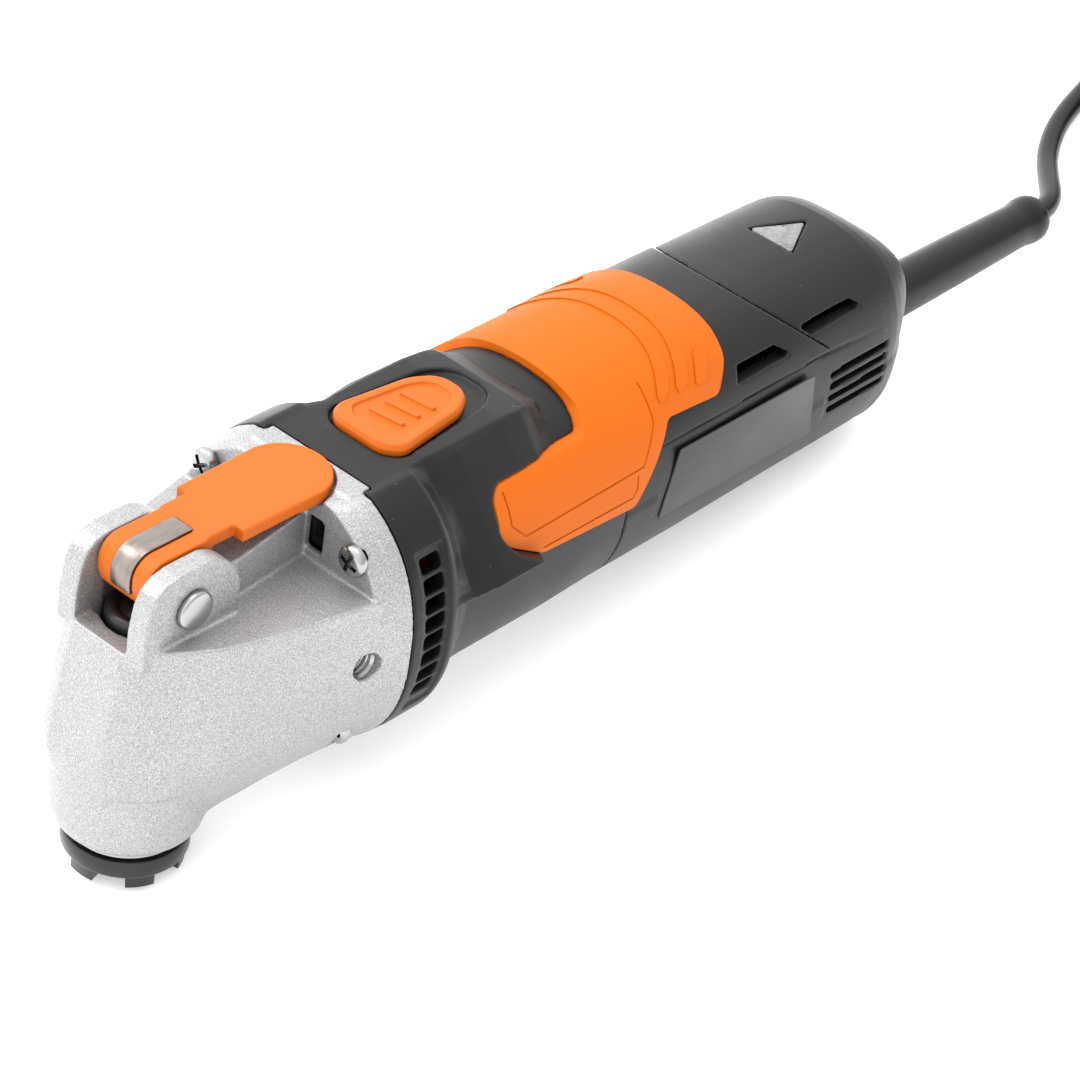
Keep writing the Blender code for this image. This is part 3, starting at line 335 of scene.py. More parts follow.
def make_materials():
    """The look of every material slot of the record."""
    return {
        "cast_aluminium": surface("cast_look", (0.29, 0.29, 0.293), 0.46, 0.6, tone=0.07, sparkle=0.42,
                                  grain=2900.0, bump=0.45, depth=0.0001, worn=0.3),
        "orange_plastic": surface("orange_plastic_look", (0.43, 0.085, 0.003), 0.45, tone=0.03, grain=2600.0,
                                  bump=0.12, depth=0.00006, specular=0.18),
        "orange_rubber": surface("orange_rubber_look", (0.43, 0.085, 0.0015), 0.55, tone=0.03, grain=2400.0,
                                 bump=0.15, depth=0.00008, specular=0.12),
        "black_plastic": surface("black_plastic_look", (0.0045, 0.0045, 0.0047), 0.4, tone=0.2, grain=1500.0,
                                 bump=0.3, depth=0.00009, specular=0.22, dust=0.5),
        "black_rubber": surface("black_rubber_look", (0.0035, 0.0035, 0.0037), 0.36, tone=0.2, grain=1400.0,
                                bump=0.2, depth=0.0001, specular=0.18),
        "bright_steel": surface("bright_steel_look", (0.29, 0.29, 0.29), 0.22, 1.0, tone=0.06, grain=2600.0,
                                bump=0.12, depth=0.00004, worn=0.2),
        "brushed_strip": surface("brushed_strip_look", (0.19, 0.165, 0.15), 0.3, 1.0, tone=0.18, blotch=160.0,
                                 grain=2600.0, bump=0.2, depth=0.00005, stretch=(1.0, 6.0, 1.0)),
        "black_steel": surface("black_steel_look", (0.02, 0.02, 0.021), 0.34, 0.6, tone=0.15, grain=2200.0,
                               bump=0.15, depth=0.00006, worn=0.3),
        "clear_lens": surface("lens_look", (0.125, 0.125, 0.125), 0.15, tone=0.35, blotch=420.0, grain=420.0,
                              bump=0.9, depth=0.0006, specular=0.6),
        "grey_label": surface("label_look", (0.032, 0.032, 0.034), 0.42, tone=0.06, grain=3000.0, bump=0.05,
                              depth=0.00003, specular=0.22),
        "copper_winding": surface("copper_look", (0.30, 0.11, 0.05), 0.35, 0.9, grain=900.0, bump=0.5,
                                  depth=0.0003, stretch=(1.0, 0.2, 0.2)),
        "brass": surface("brass_look", (0.40, 0.27, 0.10), 0.3, 1.0, worn=0.3),
        "laminated_iron": surface("iron_look", (0.14, 0.14, 0.145), 0.45, 0.85, grain=1600.0, bump=0.7,
                                  depth=0.0002, stretch=(1.0, 0.03, 0.03)),
        "carbon": surface("carbon_look", (0.02, 0.02, 0.021), 0.6, 0.1, sparkle=0.5),
        "board_green": surface("board_look", (0.01, 0.08, 0.03), 0.35, tone=0.2),
        "inner_plastic": surface("inner_plastic_look", (0.016, 0.016, 0.017), 0.55, tone=0.1),
    }


# ---------------------------------------------------------------- mesh helpers

def make(name, verts, faces):
    """A mesh object from points in millimetres, with its faces turned outwards."""
    mesh = bpy.data.meshes.new(name)
    mesh.from_pydata([tuple(v) for v in verts], [], faces)
    bm = bmesh.new()
    bm.from_mesh(mesh)
    bmesh.ops.connect_verts_nonplanar(bm, angle_limit=1e-4, faces=bm.faces)
    bmesh.ops.recalc_face_normals(bm, faces=bm.faces)
    bm.to_mesh(mesh)
    bm.free()
    obj = bpy.data.objects.new(name, mesh)
    bpy.context.scene.collection.objects.link(obj)
    return obj


def rings(sections):
    """Points and faces of the skin through closed sections with the same number of points each."""
    n = len(sections[0])
    verts = [p for s in sections for p in s]
    faces = []
    for k in range(len(sections) - 1):
        for i in range(n):
            j = (i + 1) % n
            faces.append((k * n + i, k * n + j, (k + 1) * n + j, (k + 1) * n + i))
    faces.append(tuple(range(n)))
    faces.append(tuple((len(sections) - 1) * n + i for i in range(n)))
    return verts, faces


def prism(outline, lo, hi, plane):
    """An outline pushed along the axis that its plane leaves out."""
    def place(p, h):
        if plane == "xz":
            return (p[0], h, p[1])
        if plane == "xy":
            return (p[0], p[1], h)
        return (h, p[0], p[1])
    return rings([[place(p, lo) for p in outline], [place(p, hi) for p in outline]])


def turned(profile, steps, axis="z", centre=(0.0, 0.0, 0.0), closed=False):
    """A solid of revolution. The profile is (radius, height) pairs; a closed one makes a ring."""
    verts = []
    faces = []
    n = len(profile)
    for k in range(steps):
        a = 2 * math.pi * (k + 0.5) / steps
        for r, h in profile:
            c, s = r * math.cos(a), r * math.sin(a)
            p = {"z": (c, s, h), "x": (h, c, s), "y": (s, h, c)}[axis]
            verts.append(tuple(p[i] + centre[i] for i in range(3)))
    for k in range(steps):
        m = (k + 1) % steps
        for i in range(n if closed else n - 1):
            j = (i + 1) % n
            faces.append((k * n + i, k * n + j, m * n + j, m * n + i))
    if not closed:
        faces.append(tuple(k * n for k in range(steps)))
        faces.append(tuple(k * n + n - 1 for k in range(steps)))
    return verts, faces


def disc(r, h0, h1, steps, axis="z", centre=(0.0, 0.0, 0.0)):
    return turned([(r, h0), (r, h1)], steps, axis, centre)


def box(lo, hi):
    x0, y0, z0 = lo
    x1, y1, z1 = hi
    return prism([(x0, y0), (x1, y0), (x1, y1), (x0, y1)], z0, z1, "xy")


def bake(obj):
    """Applies every modifier."""
    graph = bpy.context.evaluated_depsgraph_get()
    graph.update()
    mesh = bpy.data.meshes.new_from_object(obj.evaluated_get(graph))
    obj.modifiers.clear()
    obj.data = mesh
    return obj


def boolean(target, other, operation):
    mod = target.modifiers.new("bool", "BOOLEAN")
    mod.object = other
    mod.operation = operation
    mod.solver = "EXACT"
    bake(target)
    bpy.data.objects.remove(other, do_unlink=True)
    return target


def together(shapes):
    verts = []
    faces = []
    for more_verts, more_faces in shapes:
        start = len(verts)
        verts += more_verts
        faces += [tuple(i + start for i in face) for face in more_faces]
    return verts, faces


def cut(target, *shapes):
    return boolean(target, make("cutter", *together(shapes)), "DIFFERENCE")


def join(target, *shapes):
    return boolean(target, make("cutter", *together(shapes)), "UNION")


def keep(target, shape):
    return boolean(target, make("cutter", *shape), "INTERSECT")


def soften(obj, voxel, rounds, share=0.5):
    """Rounds every edge a little, as moulding and casting do, and thins out the flat areas again."""
    mod = obj.modifiers.new("voxels", "REMESH")
    mod.mode = "VOXEL"
    mod.voxel_size = voxel * COARSE
    mod = obj.modifiers.new("smooth", "SMOOTH")
    mod.factor = 0.5
    mod.iterations = rounds
    mod = obj.modifiers.new("thin", "DECIMATE")
    mod.ratio = share
    return bake(obj)


def bevelled(obj, width, segments=2, angle=30):
    mod = obj.modifiers.new("edges", "BEVEL")
    mod.width = width
    mod.segments = segments
    mod.limit_method = "ANGLE"
    mod.angle_limit = math.radians(angle)
    mod.use_clamp_overlap = True
    return bake(obj)


def finish(obj, name, body, slot, nodes=(), sharp=40, look=None):
    """Stands a finished mesh on the floor, gives it its material and ties it to the frame."""
    obj.data.transform(STAND)
    obj.name = name
    obj.data.name = name
    obj.data.materials.clear()
    obj.data.materials.append(LOOKS[look or slot])
    for poly in obj.data.polygons:
        poly.use_smooth = True
        poly.material_index = 0
    obj.data.set_sharp_from_angle(angle=math.radians(sharp))
    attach(obj, body)
    if nodes:
        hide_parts(*nodes)
    return obj


def super_point(angle, a, b, n):
    c, s = math.cos(angle), math.sin(angle)
    r = (abs(c / a) ** n + abs(s / b) ** n) ** (-1 / n)
    return r * c, r * s


def super_section(x, a, b, n, count, top=None):
    """Section across the motor axis. top lowers everything above that height to it."""
    out = []
    for k in range(count):
        y, z = super_point(2 * math.pi * (k + 0.5) / count, a, b, n)
        if top is not None and z > top:
            z = top + 0.04 * (z - top)
        out.append((x, y, z))
    return out


def table(x, rows):
    """Straight interpolation in a list of (x, value) rows."""
    return float(np.interp(x, [r[0] for r in rows], [r[1] for r in rows]))


def grown(outline, by):
    """The outline moved outwards by a distance, corner by corner."""
    n = len(outline)
    ends = zip(outline, outline[1:] + outline[:1])
    sign = 1.0 if sum(a[0] * b[1] - b[0] * a[1] for a, b in ends) > 0 else -1.0
    out = []
    for i in range(n):
        p0, p1, p2 = Vector(outline[i - 1]), Vector(outline[i]), Vector(outline[(i + 1) % n])
        d0, d1 = (p1 - p0).normalized(), (p2 - p1).normalized()
        n0, n1 = Vector((d0.y, -d0.x)) * sign, Vector((d1.y, -d1.x)) * sign
        m = (n0 + n1).normalized()
        out.append(tuple(p1 + m * (by / max(0.4, m.dot(n0)))))
    return out


def rounded(outline, radius, steps=4):
    """The outline with each corner replaced by a short curve."""
    out = []
    n = len(outline)
    for i in range(n):
        p0, p1, p2 = Vector(outline[i - 1]), Vector(outline[i]), Vector(outline[(i + 1) % n])
        reach = min(radius, (p1 - p0).length * 0.45, (p2 - p1).length * 0.45)
        a = p1 + (p0 - p1).normalized() * reach
        b = p1 + (p2 - p1).normalized() * reach
        for k in range(steps + 1):
            t = k / steps
            out.append(tuple(a * (1 - t) ** 2 + p1 * 2 * t * (1 - t) + b * t * t))
    return out


# ---------------------------------------------------------------- head

def plan_outline(level, steps=24):
    """Outline of the gear body at one height, from its narrow front to the flange's section at its rear."""
    front = table(level, [(-38, -8.0), (-30, -16.0), (-24, -17.8), (-17, -19.2), (16.4, -13.6)])
    low = table(level, [(-38, 0.68), (-30, 0.78), (-24, 0.90), (-17, 1.0), (20, 1.0)])
    swell = table(level, [(-17, 1.03), (0, 1.03), (16.4, 0.97)])
    arch = (1 - (max(0.0, -level) / (FLANGE_B + 0.3)) ** BARREL_N) ** (1 / BARREL_N)
    side = []
    for k in range(steps + 1):
        x = front + (46.0 - front) * (k / steps) ** 1.6
        shift = (front + 14.6) * max(0.0, 1 - (x - front) / 30.0)
        rear = min(1.0, max(0.0, (x - 6.0) / 34.0))
        w = table(x - shift, FLANK) * swell * (low + (arch - low) * rear)
        nose = min(1.0, (x - front) / 9.0)
        w *= 0.80 + 0.20 * math.sqrt(1 - (1 - nose) ** 2)
        side.append((x, w))
    return [(x, w, level) for x, w in side] + [(x, -w, level) for x, w in reversed(side)]


def ear_outline():
    pts = [(-13.4, SHELF_Z - 4), (-13.2, 22.0), (-12.2, 28.0), (-10.6, 31.4), (-7.8, 33.6), (-4.0, 34.5)]
    for k in range(19):
        a = math.radians(78 - k * 5)
        pts.append((EAR_X + 12.3 * math.cos(a), EAR_Z + 12.0 * math.sin(a)))
    pts.append((15.2, SHELF_Z - 4))
    return pts


def cast_head():
    head = make("cast_head", *rings([plan_outline(z) for z in np.linspace(-37.3, SHELF_Z, 18)]))
    stations = [(41.6, 33.0, 35.2), (44.0, 34.3, 36.4), (47.0, 35.4, 37.3), (FLANGE_X, FLANGE_A, FLANGE_B)]
    join(head, rings([super_section(x, a, b, BARREL_N, 96, 34.0 - 0.1 * (FLANGE_X - x)) for x, a, b in stations]))
    barrel = [(2.0, COLLAR_BOTTOM), (15.6, COLLAR_BOTTOM), (16.6, -41.6), (17.5, -40.4), (18.4, -37.0),
              (18.8, -30.0), (18.7, -24.0), (19.5, -23.2), (19.6, -19.0), (19.6, -16.0), (18.6, -13.0),
              (17.0, -6.0), (2.0, -6.0)]
    join(head, turned(barrel, 80))
    join(head, prism(ear_outline(), -EAR_OUT, EAR_OUT, "xz"))
    web = [(12.0, 10.3), (WALL_X + 1, 7.5), (WALL_X + 1, -7.5), (12.0, -10.3)]
    low = [(x, y, SHELF_Z - 3) for x, y in web]
    high = [(x, y * 0.97, 26.4 + 0.08 * (x - 17)) for x, y in web]
    join(head, rings([low, high]))
    join(head, box((FLANGE_X - 4, -15.4, 24), (FLANGE_X + 2.8, 15.4, 34.2)))
    cut_head(head)
    soften(head, SHELL_VOXEL, 6, 0.36)
    finish(head, "cast_head", "housing", "cast_aluminium", ["gear_head"], 60)


def cut_head(head):
    # The gap between the ears, round clearance for the nose, and the well for the thrust cap.
    slot = [(-25, 14.8), (9.5, 14.8), (13.2, 18.0), (14.9, 22.8), (14.9, 45), (-25, 45)]
    cut(head, prism(slot, -EAR_IN, EAR_IN, "xz"))
    cut(head, disc(NOSE_SWEEP_R + 0.5, -EAR_IN, EAR_IN, 72, "y", (PIN_X, 0, PIN_Z)))
    cut(head, disc(9.5, 5.7, 24.0, 64))
    # The hollow in the web under the lever's round end.
    pocket = [(30.0, -11.5)]
    for k in range(25):
        a = math.radians(-90 + 7.5 * k)
        pocket.append((41.2 + 11.7 * math.cos(a), 11.7 * math.sin(a)))
    pocket.append((30.0, 11.5))
    cut(head, prism(pocket, 31.4, 45, "xy"))
    # Inside: the spindle's bore with its bearing seats, the fork's room and the bearing plate's seat.
    bore = [(9.6, -45), (9.6, -41.2), (14.2, -41.2), (14.2, -33.4), (12.4, -33.4), (12.4, -12), (10.8, -12),
            (10.8, 3.4), (5.2, 3.4), (5.2, 8.0)]
    cut(head, turned(bore, 48))
    room = [(10.5, -17.0, -28.0), (10.5, 17.0, -28.0), (10.5, 17.0, 9.5), (10.5, -17.0, 9.5)]
    end = FLANGE_X + 3
    rear = [(end, -25.0, -28.0), (end, 25.0, -28.0), (end, 25.0, 13.0), (end, -25.0, 13.0)]
    cut(head, rings([room, rear]))
    cut(head, disc(31.6, 45.4, FLANGE_X + 5, 72, "x"))
    # The pin's hole, and on each side its head's seat, the side handle's hole and the mouth in the wall.
    cut(head, disc(3.15, -20, 20, 32, "y", (PIN_X, 0, PIN_Z)))
    for side in (-1, 1):
        cut(head, disc(3.6, side * 20, side * 40, 40, "y", (SIDE_HOLE_X, 0, 0)))
        cut(head, disc(4.95, side * 13.5, side * 16, 48, "y", (PIN_X, 0, PIN_Z)))
        y0, y1 = sorted((side * 7.9, side * 13.0))
        mouth = rounded([(y0, 18.6), (y1, 18.6), (y1, 27.8), (y0, 27.8)], 1.0)
        cut(head, prism(mouth, WALL_X - 2, FLANGE_X + 4, "yz"))
        cut(head, box((WALL_X + 1.1, y0 - 2.5, 16.8), (FLANGE_X + 4, y1 + 2.5, 29.8)))
    # The screws' holes, and room for the heads of the lower two.
    cut(head, *(disc(2.35, 38, FLANGE_X + 2, 24, "x", (0, y, z)) for y, z in SCREWS))
    cut(head, *(disc(4.2, 37.6, 41.4, 32, "x", (0, y, z)) for y, z in SCREWS if z < 0))


def handle_threads():
    """The M8 threads in the two side holes, each closed at its inner end by a near-black disc of painted shade.
    """
    pitch = 1.25
    foot = 20.4
    for i, side in enumerate((-1, 1)):
        inner = []
        h = foot
        while h < 31.4:
            inner += [(2.9, h), (2.9, h + 0.15), (3.5, h + pitch / 2)]
            h += pitch
        profile = inner + [(4.0, h), (4.0, foot)]
        sleeve = turned([(r, side * v) for r, v in profile], 48, "y", (SIDE_HOLE_X, 0, 0), closed=True)
        finish(make("thread", *sleeve), f"handle_thread_{i + 1}", "housing", "bright_steel", sharp=30)
        # A thin near-black disc closes each hole at its inner end: painted shade for the hole's depth.
        plug = disc(3.9, *sorted((side * 20.6, side * 21.0)), 32, "y", (SIDE_HOLE_X, 0, 0))
        finish(make("end", *plug), f"painted_shade_hole_end_{i + 1}", "housing", "black_steel")


def head_screws():
    face = SCREW_FACE_X
    for i, (y, z) in enumerate(SCREWS):
        profile = [(1.9, 62.0), (1.9, face), (3.8, face), (3.9, face - 0.5), (3.85, face - 1.2),
                   (3.6, face - 1.7), (3.1, face - 2.05), (2.2, face - 2.35), (1.0, face - 2.5)]
        screw = make("screw", *turned(profile, 40, "x", (0, y, z)))
        turn = Matrix.Rotation(math.radians(20 + 37 * i), 3, "X")
        for w, h in ((2.9, 0.62), (0.62, 2.9)):
            verts, faces = box((face - 4, -w, -h), (face - 0.6, w, h))
            moved = []
            for a, b, c in verts:
                taper = 1.0 if a < face - 3 else 0.8
                v = turn @ Vector((a, b * taper, c * taper))
                moved.append((v.x, v.y + y, v.z + z))
            cut(screw, (moved, faces))
        finish(screw, f"pan_screw_{i + 1}", "housing", "bright_steel", [f"head_screw_{i + 1}"], 35)


# ---------------------------------------------------------------- clamp and hub

def nose_front(out, first_x, last_degrees, steps=18):
    """The nose's surface moved outwards: back along its top, round its bend and down its front."""
    bend_x = NOSE_FRONT_X + NOSE_BEND_R
    pts = [(first_x, NOSE_TOP + out)]
    for k in range(steps + 1):
        a = math.radians(90 + 90 * k / steps)
        pts.append((bend_x + (NOSE_BEND_R + out) * math.cos(a),
                    NOSE_TOP - NOSE_BEND_R + (NOSE_BEND_R + out) * math.sin(a)))
    below = max(4, int((last_degrees - 180) / 4))
    for k in range(1, below + 1):
        a = math.radians(180 + (last_degrees - 180) * k / below)
        pts.append((NOSE_FRONT_X + 10.6 + (10.6 + out) * math.cos(a), 28.6 + (10.1 + out) * math.sin(a)))
    return pts


def nose_outline():
    top = LEVER_TOP
    pts = [(12.0, top - LEVER_THICK), (20.0, top - LEVER_THICK), (20.0, top), (10.3, top)]
    return pts + nose_front(0.0, 10.0, 300.0) + [(9.8, 23.5), (10.2, 28.0)]


def strip_band(below, above, half, first_x, last_degrees):
    """A band round the nose between two distances from its surface, as one closed prism."""
    outer = nose_front(above, first_x, last_degrees)
    inner = nose_front(below, first_x, last_degrees)
    return prism(outer + list(reversed(inner)), -half, half, "xz")


def lever_paddle():
    lever = make("lever", *prism(nose_outline(), -NOSE_HALF, NOSE_HALF, "xz"))
    near_x = LEVER_END_X - LEVER_END_R
    plan = [(18.0, -LEVER_HALF + 0.2), (near_x, -LEVER_HALF - 0.2)]
    for k in range(1, 36):
        a = math.radians(-90 + 5 * k)
        plan.append((near_x + LEVER_END_R * math.cos(a), LEVER_END_R * math.sin(a)))
    plan += [(near_x, LEVER_HALF + 0.2), (18.0, LEVER_HALF - 0.2)]
    low = [(x, y, LEVER_TOP - LEVER_THICK) for x, y in plan]
    high = [(x, y, LEVER_TOP + 0.001) for x, y in plan]
    join(lever, rings([low, high]))
    cut(lever, disc(3.2, -12, 12, 32, "y", (PIN_X, 0, PIN_Z)))
    cut(lever, strip_band(-0.7, 2.0, 3.2, 9.95, 199.0))
    soften(lever, LEVER_VOXEL, 4)
    finish(lever, "lever_paddle", "lever", "orange_plastic", ["clamp_lever"], 60)


def clamp_pieces():
    strip = make("strip", *strip_band(-0.6, 0.45, 3.05, 9.75, 198.0))
    finish(bevelled(strip, 0.12, 2, 40), "nose_strip", "lever", "bright_steel", ["lever_strip"], 50,
           look="brushed_strip")
    half = [(2.85, 13.7), (4.6, 13.7), (4.85, 13.9), (4.85, 14.7), (4.6, 15.15), (4.1, 15.4), (3.85, 15.42),
            (3.6, 15.46), (2.4, 15.58), (1.2, 15.64), (0.3, 15.66)]
    profile = [(r, -h) for r, h in reversed(half)] + half
    finish(make("pin", *turned(profile, 64, "y", (PIN_X, 0, PIN_Z))), "rivet_pin", "housing", "bright_steel",
           ["pivot_pin"], 35)
    rim = [(CAP_R - 1.6 + 1.6 * math.cos(math.radians(a)), CAP_TOP - 1.6 + 1.6 * math.sin(math.radians(a)))
           for a in range(0, 136, 15)]
    cap = [(3.0, CAP_TOP - 7.0), (7.9, CAP_TOP - 7.0), (CAP_R, CAP_TOP - 6.2)] + rim
    cap += [(5.4, CAP_TOP - 1.1), (4.6, CAP_TOP - 0.9), (4.2, CAP_TOP - 0.5), (3.0, CAP_TOP - 0.4)]
    finish(make("cap", *turned(cap, 80, closed=True)), "polished_cap", "clamp", "black_steel", ["thrust_cap"],
           50)


def star_hub():
    disk = [(7.6, -49.9), (14.3, -49.9), (14.8, -49.7), (15.0, -49.2), (15.0, -45.5), (14.8, -45.1),
            (14.3, -45.0), (9.2, -45.0), (9.2, -42.8), (7.6, -42.8)]
    hub = make("hub", *turned(disk, 96, closed=True))
    for k in range(6):
        a0 = 2 + 60 * k - 14
        outer = [(14.1 * math.cos(math.radians(a0 + 4 * i)), 14.1 * math.sin(math.radians(a0 + 4 * i)))
                 for i in range(8)]
        inner = [(9.8 * math.cos(math.radians(a0 + 4 * i)), 9.8 * math.sin(math.radians(a0 + 4 * i)))
                 for i in range(7, -1, -1)]
        join(hub, prism(outer + inner, LUG_BOTTOM, -49.0, "xy"))
    finish(bevelled(hub, 0.22, 2, 40), "star_hub", "spindle", "black_steel", ["accessory_hub"], 50)
    rim = [(9.6, -44.5), (13.8, -44.5), (14.1, -44.3), (14.1, -43.7), (13.8, -43.5), (9.6, -43.5)]
    finish(make("rim", *turned(rim, 96, closed=True)), "bright_rim", "spindle", "bright_steel", ["dust_ring"],
           40)


# ---------------------------------------------------------------- housings

def shell_rows():
    """Half width, half height and exponent of the outside of the housings at each station."""
    collar = [(FLANGE_X + GAP, FLANGE_A, FLANGE_B), (53.6, 36.2, 37.8), (64.0, 36.2, 37.8), (65.2, 35.8, 37.2),
              (70.0, 32.6, 33.4), (73.0, 31.5, 31.8)]
    rows = [(*row, BARREL_N) for row in collar]
    rows += [(x, BARREL, BARREL, BARREL_N) for x in (80.0, 88.0, 96.0, 103.0, 106.0, 109.5, 112.9, 113.2, 128.0)]
    rows += [(160.0, BARREL, BARREL, 2.45), (200.0, 30.7, 30.9, 2.45), (222.0, 30.4, 31.0, 2.4),
             (234.0, 30.2, 31.0, 2.38), (238.0, 29.9, 30.95, 2.4), (241.0, 29.3, 30.2, 2.55),
             (244.0, 28.1, 29.0, 2.75), (247.5, 26.2, 27.0, 3.2), (250.0, 24.6, 25.2, 3.6),
             (252.5, 22.7, 23.1, 3.8), (254.5, 20.4, 20.6, 3.8), (255.6, 18.4, 18.8, 3.6),
             (TAIL_X, 16.5, 17.0, 3.4)]
    return rows


def on_platform(angle, x, y, z, top_z, half):
    """A point of the barrel, moved out to the switch platform's top or leaning side if that is farther."""
    s = math.sin(angle)
    nx, nz = math.cos(PLATFORM_LEAN), math.sin(PLATFORM_LEAN)
    flat = top_z / s
    side = (half * nx + (top_z - 1.0) * nz) / (abs(math.cos(angle)) * nx + s * nz)
    r = math.hypot(y, z)
    if x < 69.0 and abs(y) < half + 1.0:
        r = min(r, flat)
    r = max(r, min(flat, side))
    return r * math.cos(angle), r * s


def outer_section(x, a, b, n, drop=0.0):
    """One station of the housings' outside. drop lowers its upper half."""
    top_z = table(x, [(50, 34.0), (70, 34.4), (97, 34.8), (106, 34.0), (113, 31.2)])
    half = table(x, [(50, 15.6), (68, 15.4), (76, 17.4), (104, 16.6), (112, 13.0)])
    under = table(x, [(110, 2.3), (130, 2.18), (238, 2.15), (243, 2.5), (248, 2.9), (252, 3.2), (256, 3.2)])
    out = []
    for k in range(ROUND_STEPS):
        angle = 2 * math.pi * (k + 0.5) / ROUND_STEPS
        y, z = super_point(angle, a, b, under if math.sin(angle) < 0 else n)
        if x < PLATFORM_END_X and math.sin(angle) > 0.15:
            y, z = on_platform(angle, x, y, z, top_z, half)
        if drop and math.sin(angle) > 0:
            scale = 1 - drop / math.hypot(y, z)
            y, z = y * scale, z * scale
        out.append((x, y, z))
    return out


def inner_shape():
    rows = [(FLANGE_X - 2, 32.0, 31.6), (66.0, 32.0, 31.6), (73.0, 28.7, 28.9), (190.0, 28.6, 28.8),
            (200.0, 28.0, 28.2), (238.0, 27.4, 28.0), (244.0, 25.0, 25.6), (249.0, 21.6, 22.0),
            (252.6, 16.4, 16.8)]
    return rings([super_section(x, a, b, 2.2, 48) for x, a, b in rows])


def round_bar(half_width, x0, x1):
    """A bar with the barrel's section."""
    return rings([super_section(x, half_width, half_width, BARREL_N, ROUND_STEPS) for x in (x0, x1)])


def tube(outside, inside, x0, x1):
    """A tube with the barrel's section between two half widths."""
    return cut(make("tube", *round_bar(outside, x0, x1)), round_bar(inside, x0 - 5, x1 + 5))


def relief(target, inside, outside, outline, plane, lo, hi, operation, x0, x1):
    """Raises or sinks the part of the barrel's skin that lies behind an outline."""
    skin = tube(outside, inside, x0, x1)
    keep(skin, prism(outline, lo, hi, plane))
    boolean(target, skin, operation)


def front_profile():
    top_x = SEAM_REAR_X - SEAM_LEAN * (50 - SEAM_Z)
    return [(FLANGE_X - 5, -50), (SEAM_LOW_X, -50), (SEAM_LOW_X, SEAM_Z), (SEAM_REAR_X, SEAM_Z), (top_x, 50),
            (FLANGE_X - 5, 50)]


def rear_profile():
    top_x = SEAM_REAR_X - SEAM_LEAN * (50 - SEAM_Z)
    lean_gap = GAP * 0.6
    return [(SEAM_LOW_X + GAP, -50), (300, -50), (300, 50), (top_x + lean_gap, 50),
            (SEAM_REAR_X + lean_gap + SEAM_LEAN * GAP, SEAM_Z - GAP), (SEAM_LOW_X + GAP, SEAM_Z - GAP)]


def button_plan(grow_x, grow_y, x1=BUTTON_X1):
    """Outline of the switch button from above, wider at its front."""
    x0 = BUTTON_X0 - grow_x
    x1 = x1 + grow_x
    g = grow_y
    half = [(x1, 2.5 + g), (x1 - 1.6, 5.4 + g), (x1 - 7.0, 8.6 + g), (x0 + 3.6, 11.4 + g), (x0, 7.4 + g)]
    return [(x, -y) for x, y in reversed(half)] + half


def shell(drop):
    """The whole hollow shell of the two housings, with the grip's seat sunk into it."""
    obj = make("shell", *rings([outer_section(*row, drop) for row in shell_rows()]))
    cut(obj, inner_shape())
    seat = tube(40.0, GRIP_IN - GAP, 78.0, 180.0)
    keep(seat, prism(grown(rounded(GRIP_SIDE, 1.4), GAP), -60, 60, "xz"))
    return boolean(obj, seat, "DIFFERENCE")


def motor_shell():
    motor = shell(0.0)
    keep(motor, prism(front_profile(), -60, 60, "xz"))
    recess = rounded(button_plan(0.5, 0.9, BUTTON_X1 + 6.2), 2.8, 7)
    cut(motor, prism(recess, 33.0, 50, "xy"))
    cut(motor, box((74.0, -3.2, 20.0), (94.5, 3.2, 40)))
    cut(motor, box((FLANGE_X - 6, -15.8, 23.6), (FLANGE_X + 3.2, 15.8, 50)))
    cut_vents(motor)
    for side in (-1, 1):
        slot = [(174.1, 18.1), (175.6, 21.7), (190.8, 21.7), (196.2, 18.3)]
        cut(motor, prism(slot, side * 20.0, side * 40.0, "xz"))
    cut(motor, *(disc(2.3, 48, 64, 24, "x", (0, y, z)) for y, z in SCREWS))
    soften(motor, SHELL_VOXEL, 5, 0.2)
    finish(motor, "front_shell", "housing", "black_plastic", ["motor_housing"], 60)


def cut_vents(motor):
    """The sunk panel on each side of the collar, and its eight slots."""
    for side in (-1, 1):
        skin = make("skin", *rings([super_section(x, 45, 46, BARREL_N, 96) for x in (53.6, 62.6)]))
        cut(skin, rings([super_section(x, 35.45, 37.05, BARREL_N, ROUND_STEPS) for x in (50, 70)]))
        low, high = math.radians(-31.5), math.radians(38.0)
        wedge = [(0.0, 0.0)] + [(side * 70 * math.cos(a), 70 * math.sin(a)) for a in (low, 0.0, high)]
        keep(skin, prism(wedge, 50, 70, "yz"))
        boolean(motor, skin, "DIFFERENCE")
        slots = []
        for k in range(8):
            verts, faces = box((55.0, 28.0, -1.95), (61.4, 45.0, 1.95))
            turn = Matrix.Rotation(math.radians(32.5 - 7.9 * k), 3, "X")
            moved = [turn @ Vector(v) for v in verts]
            slots.append(([(v.x, v.y * side, v.z) for v in moved], faces))
        cut(motor, *slots)


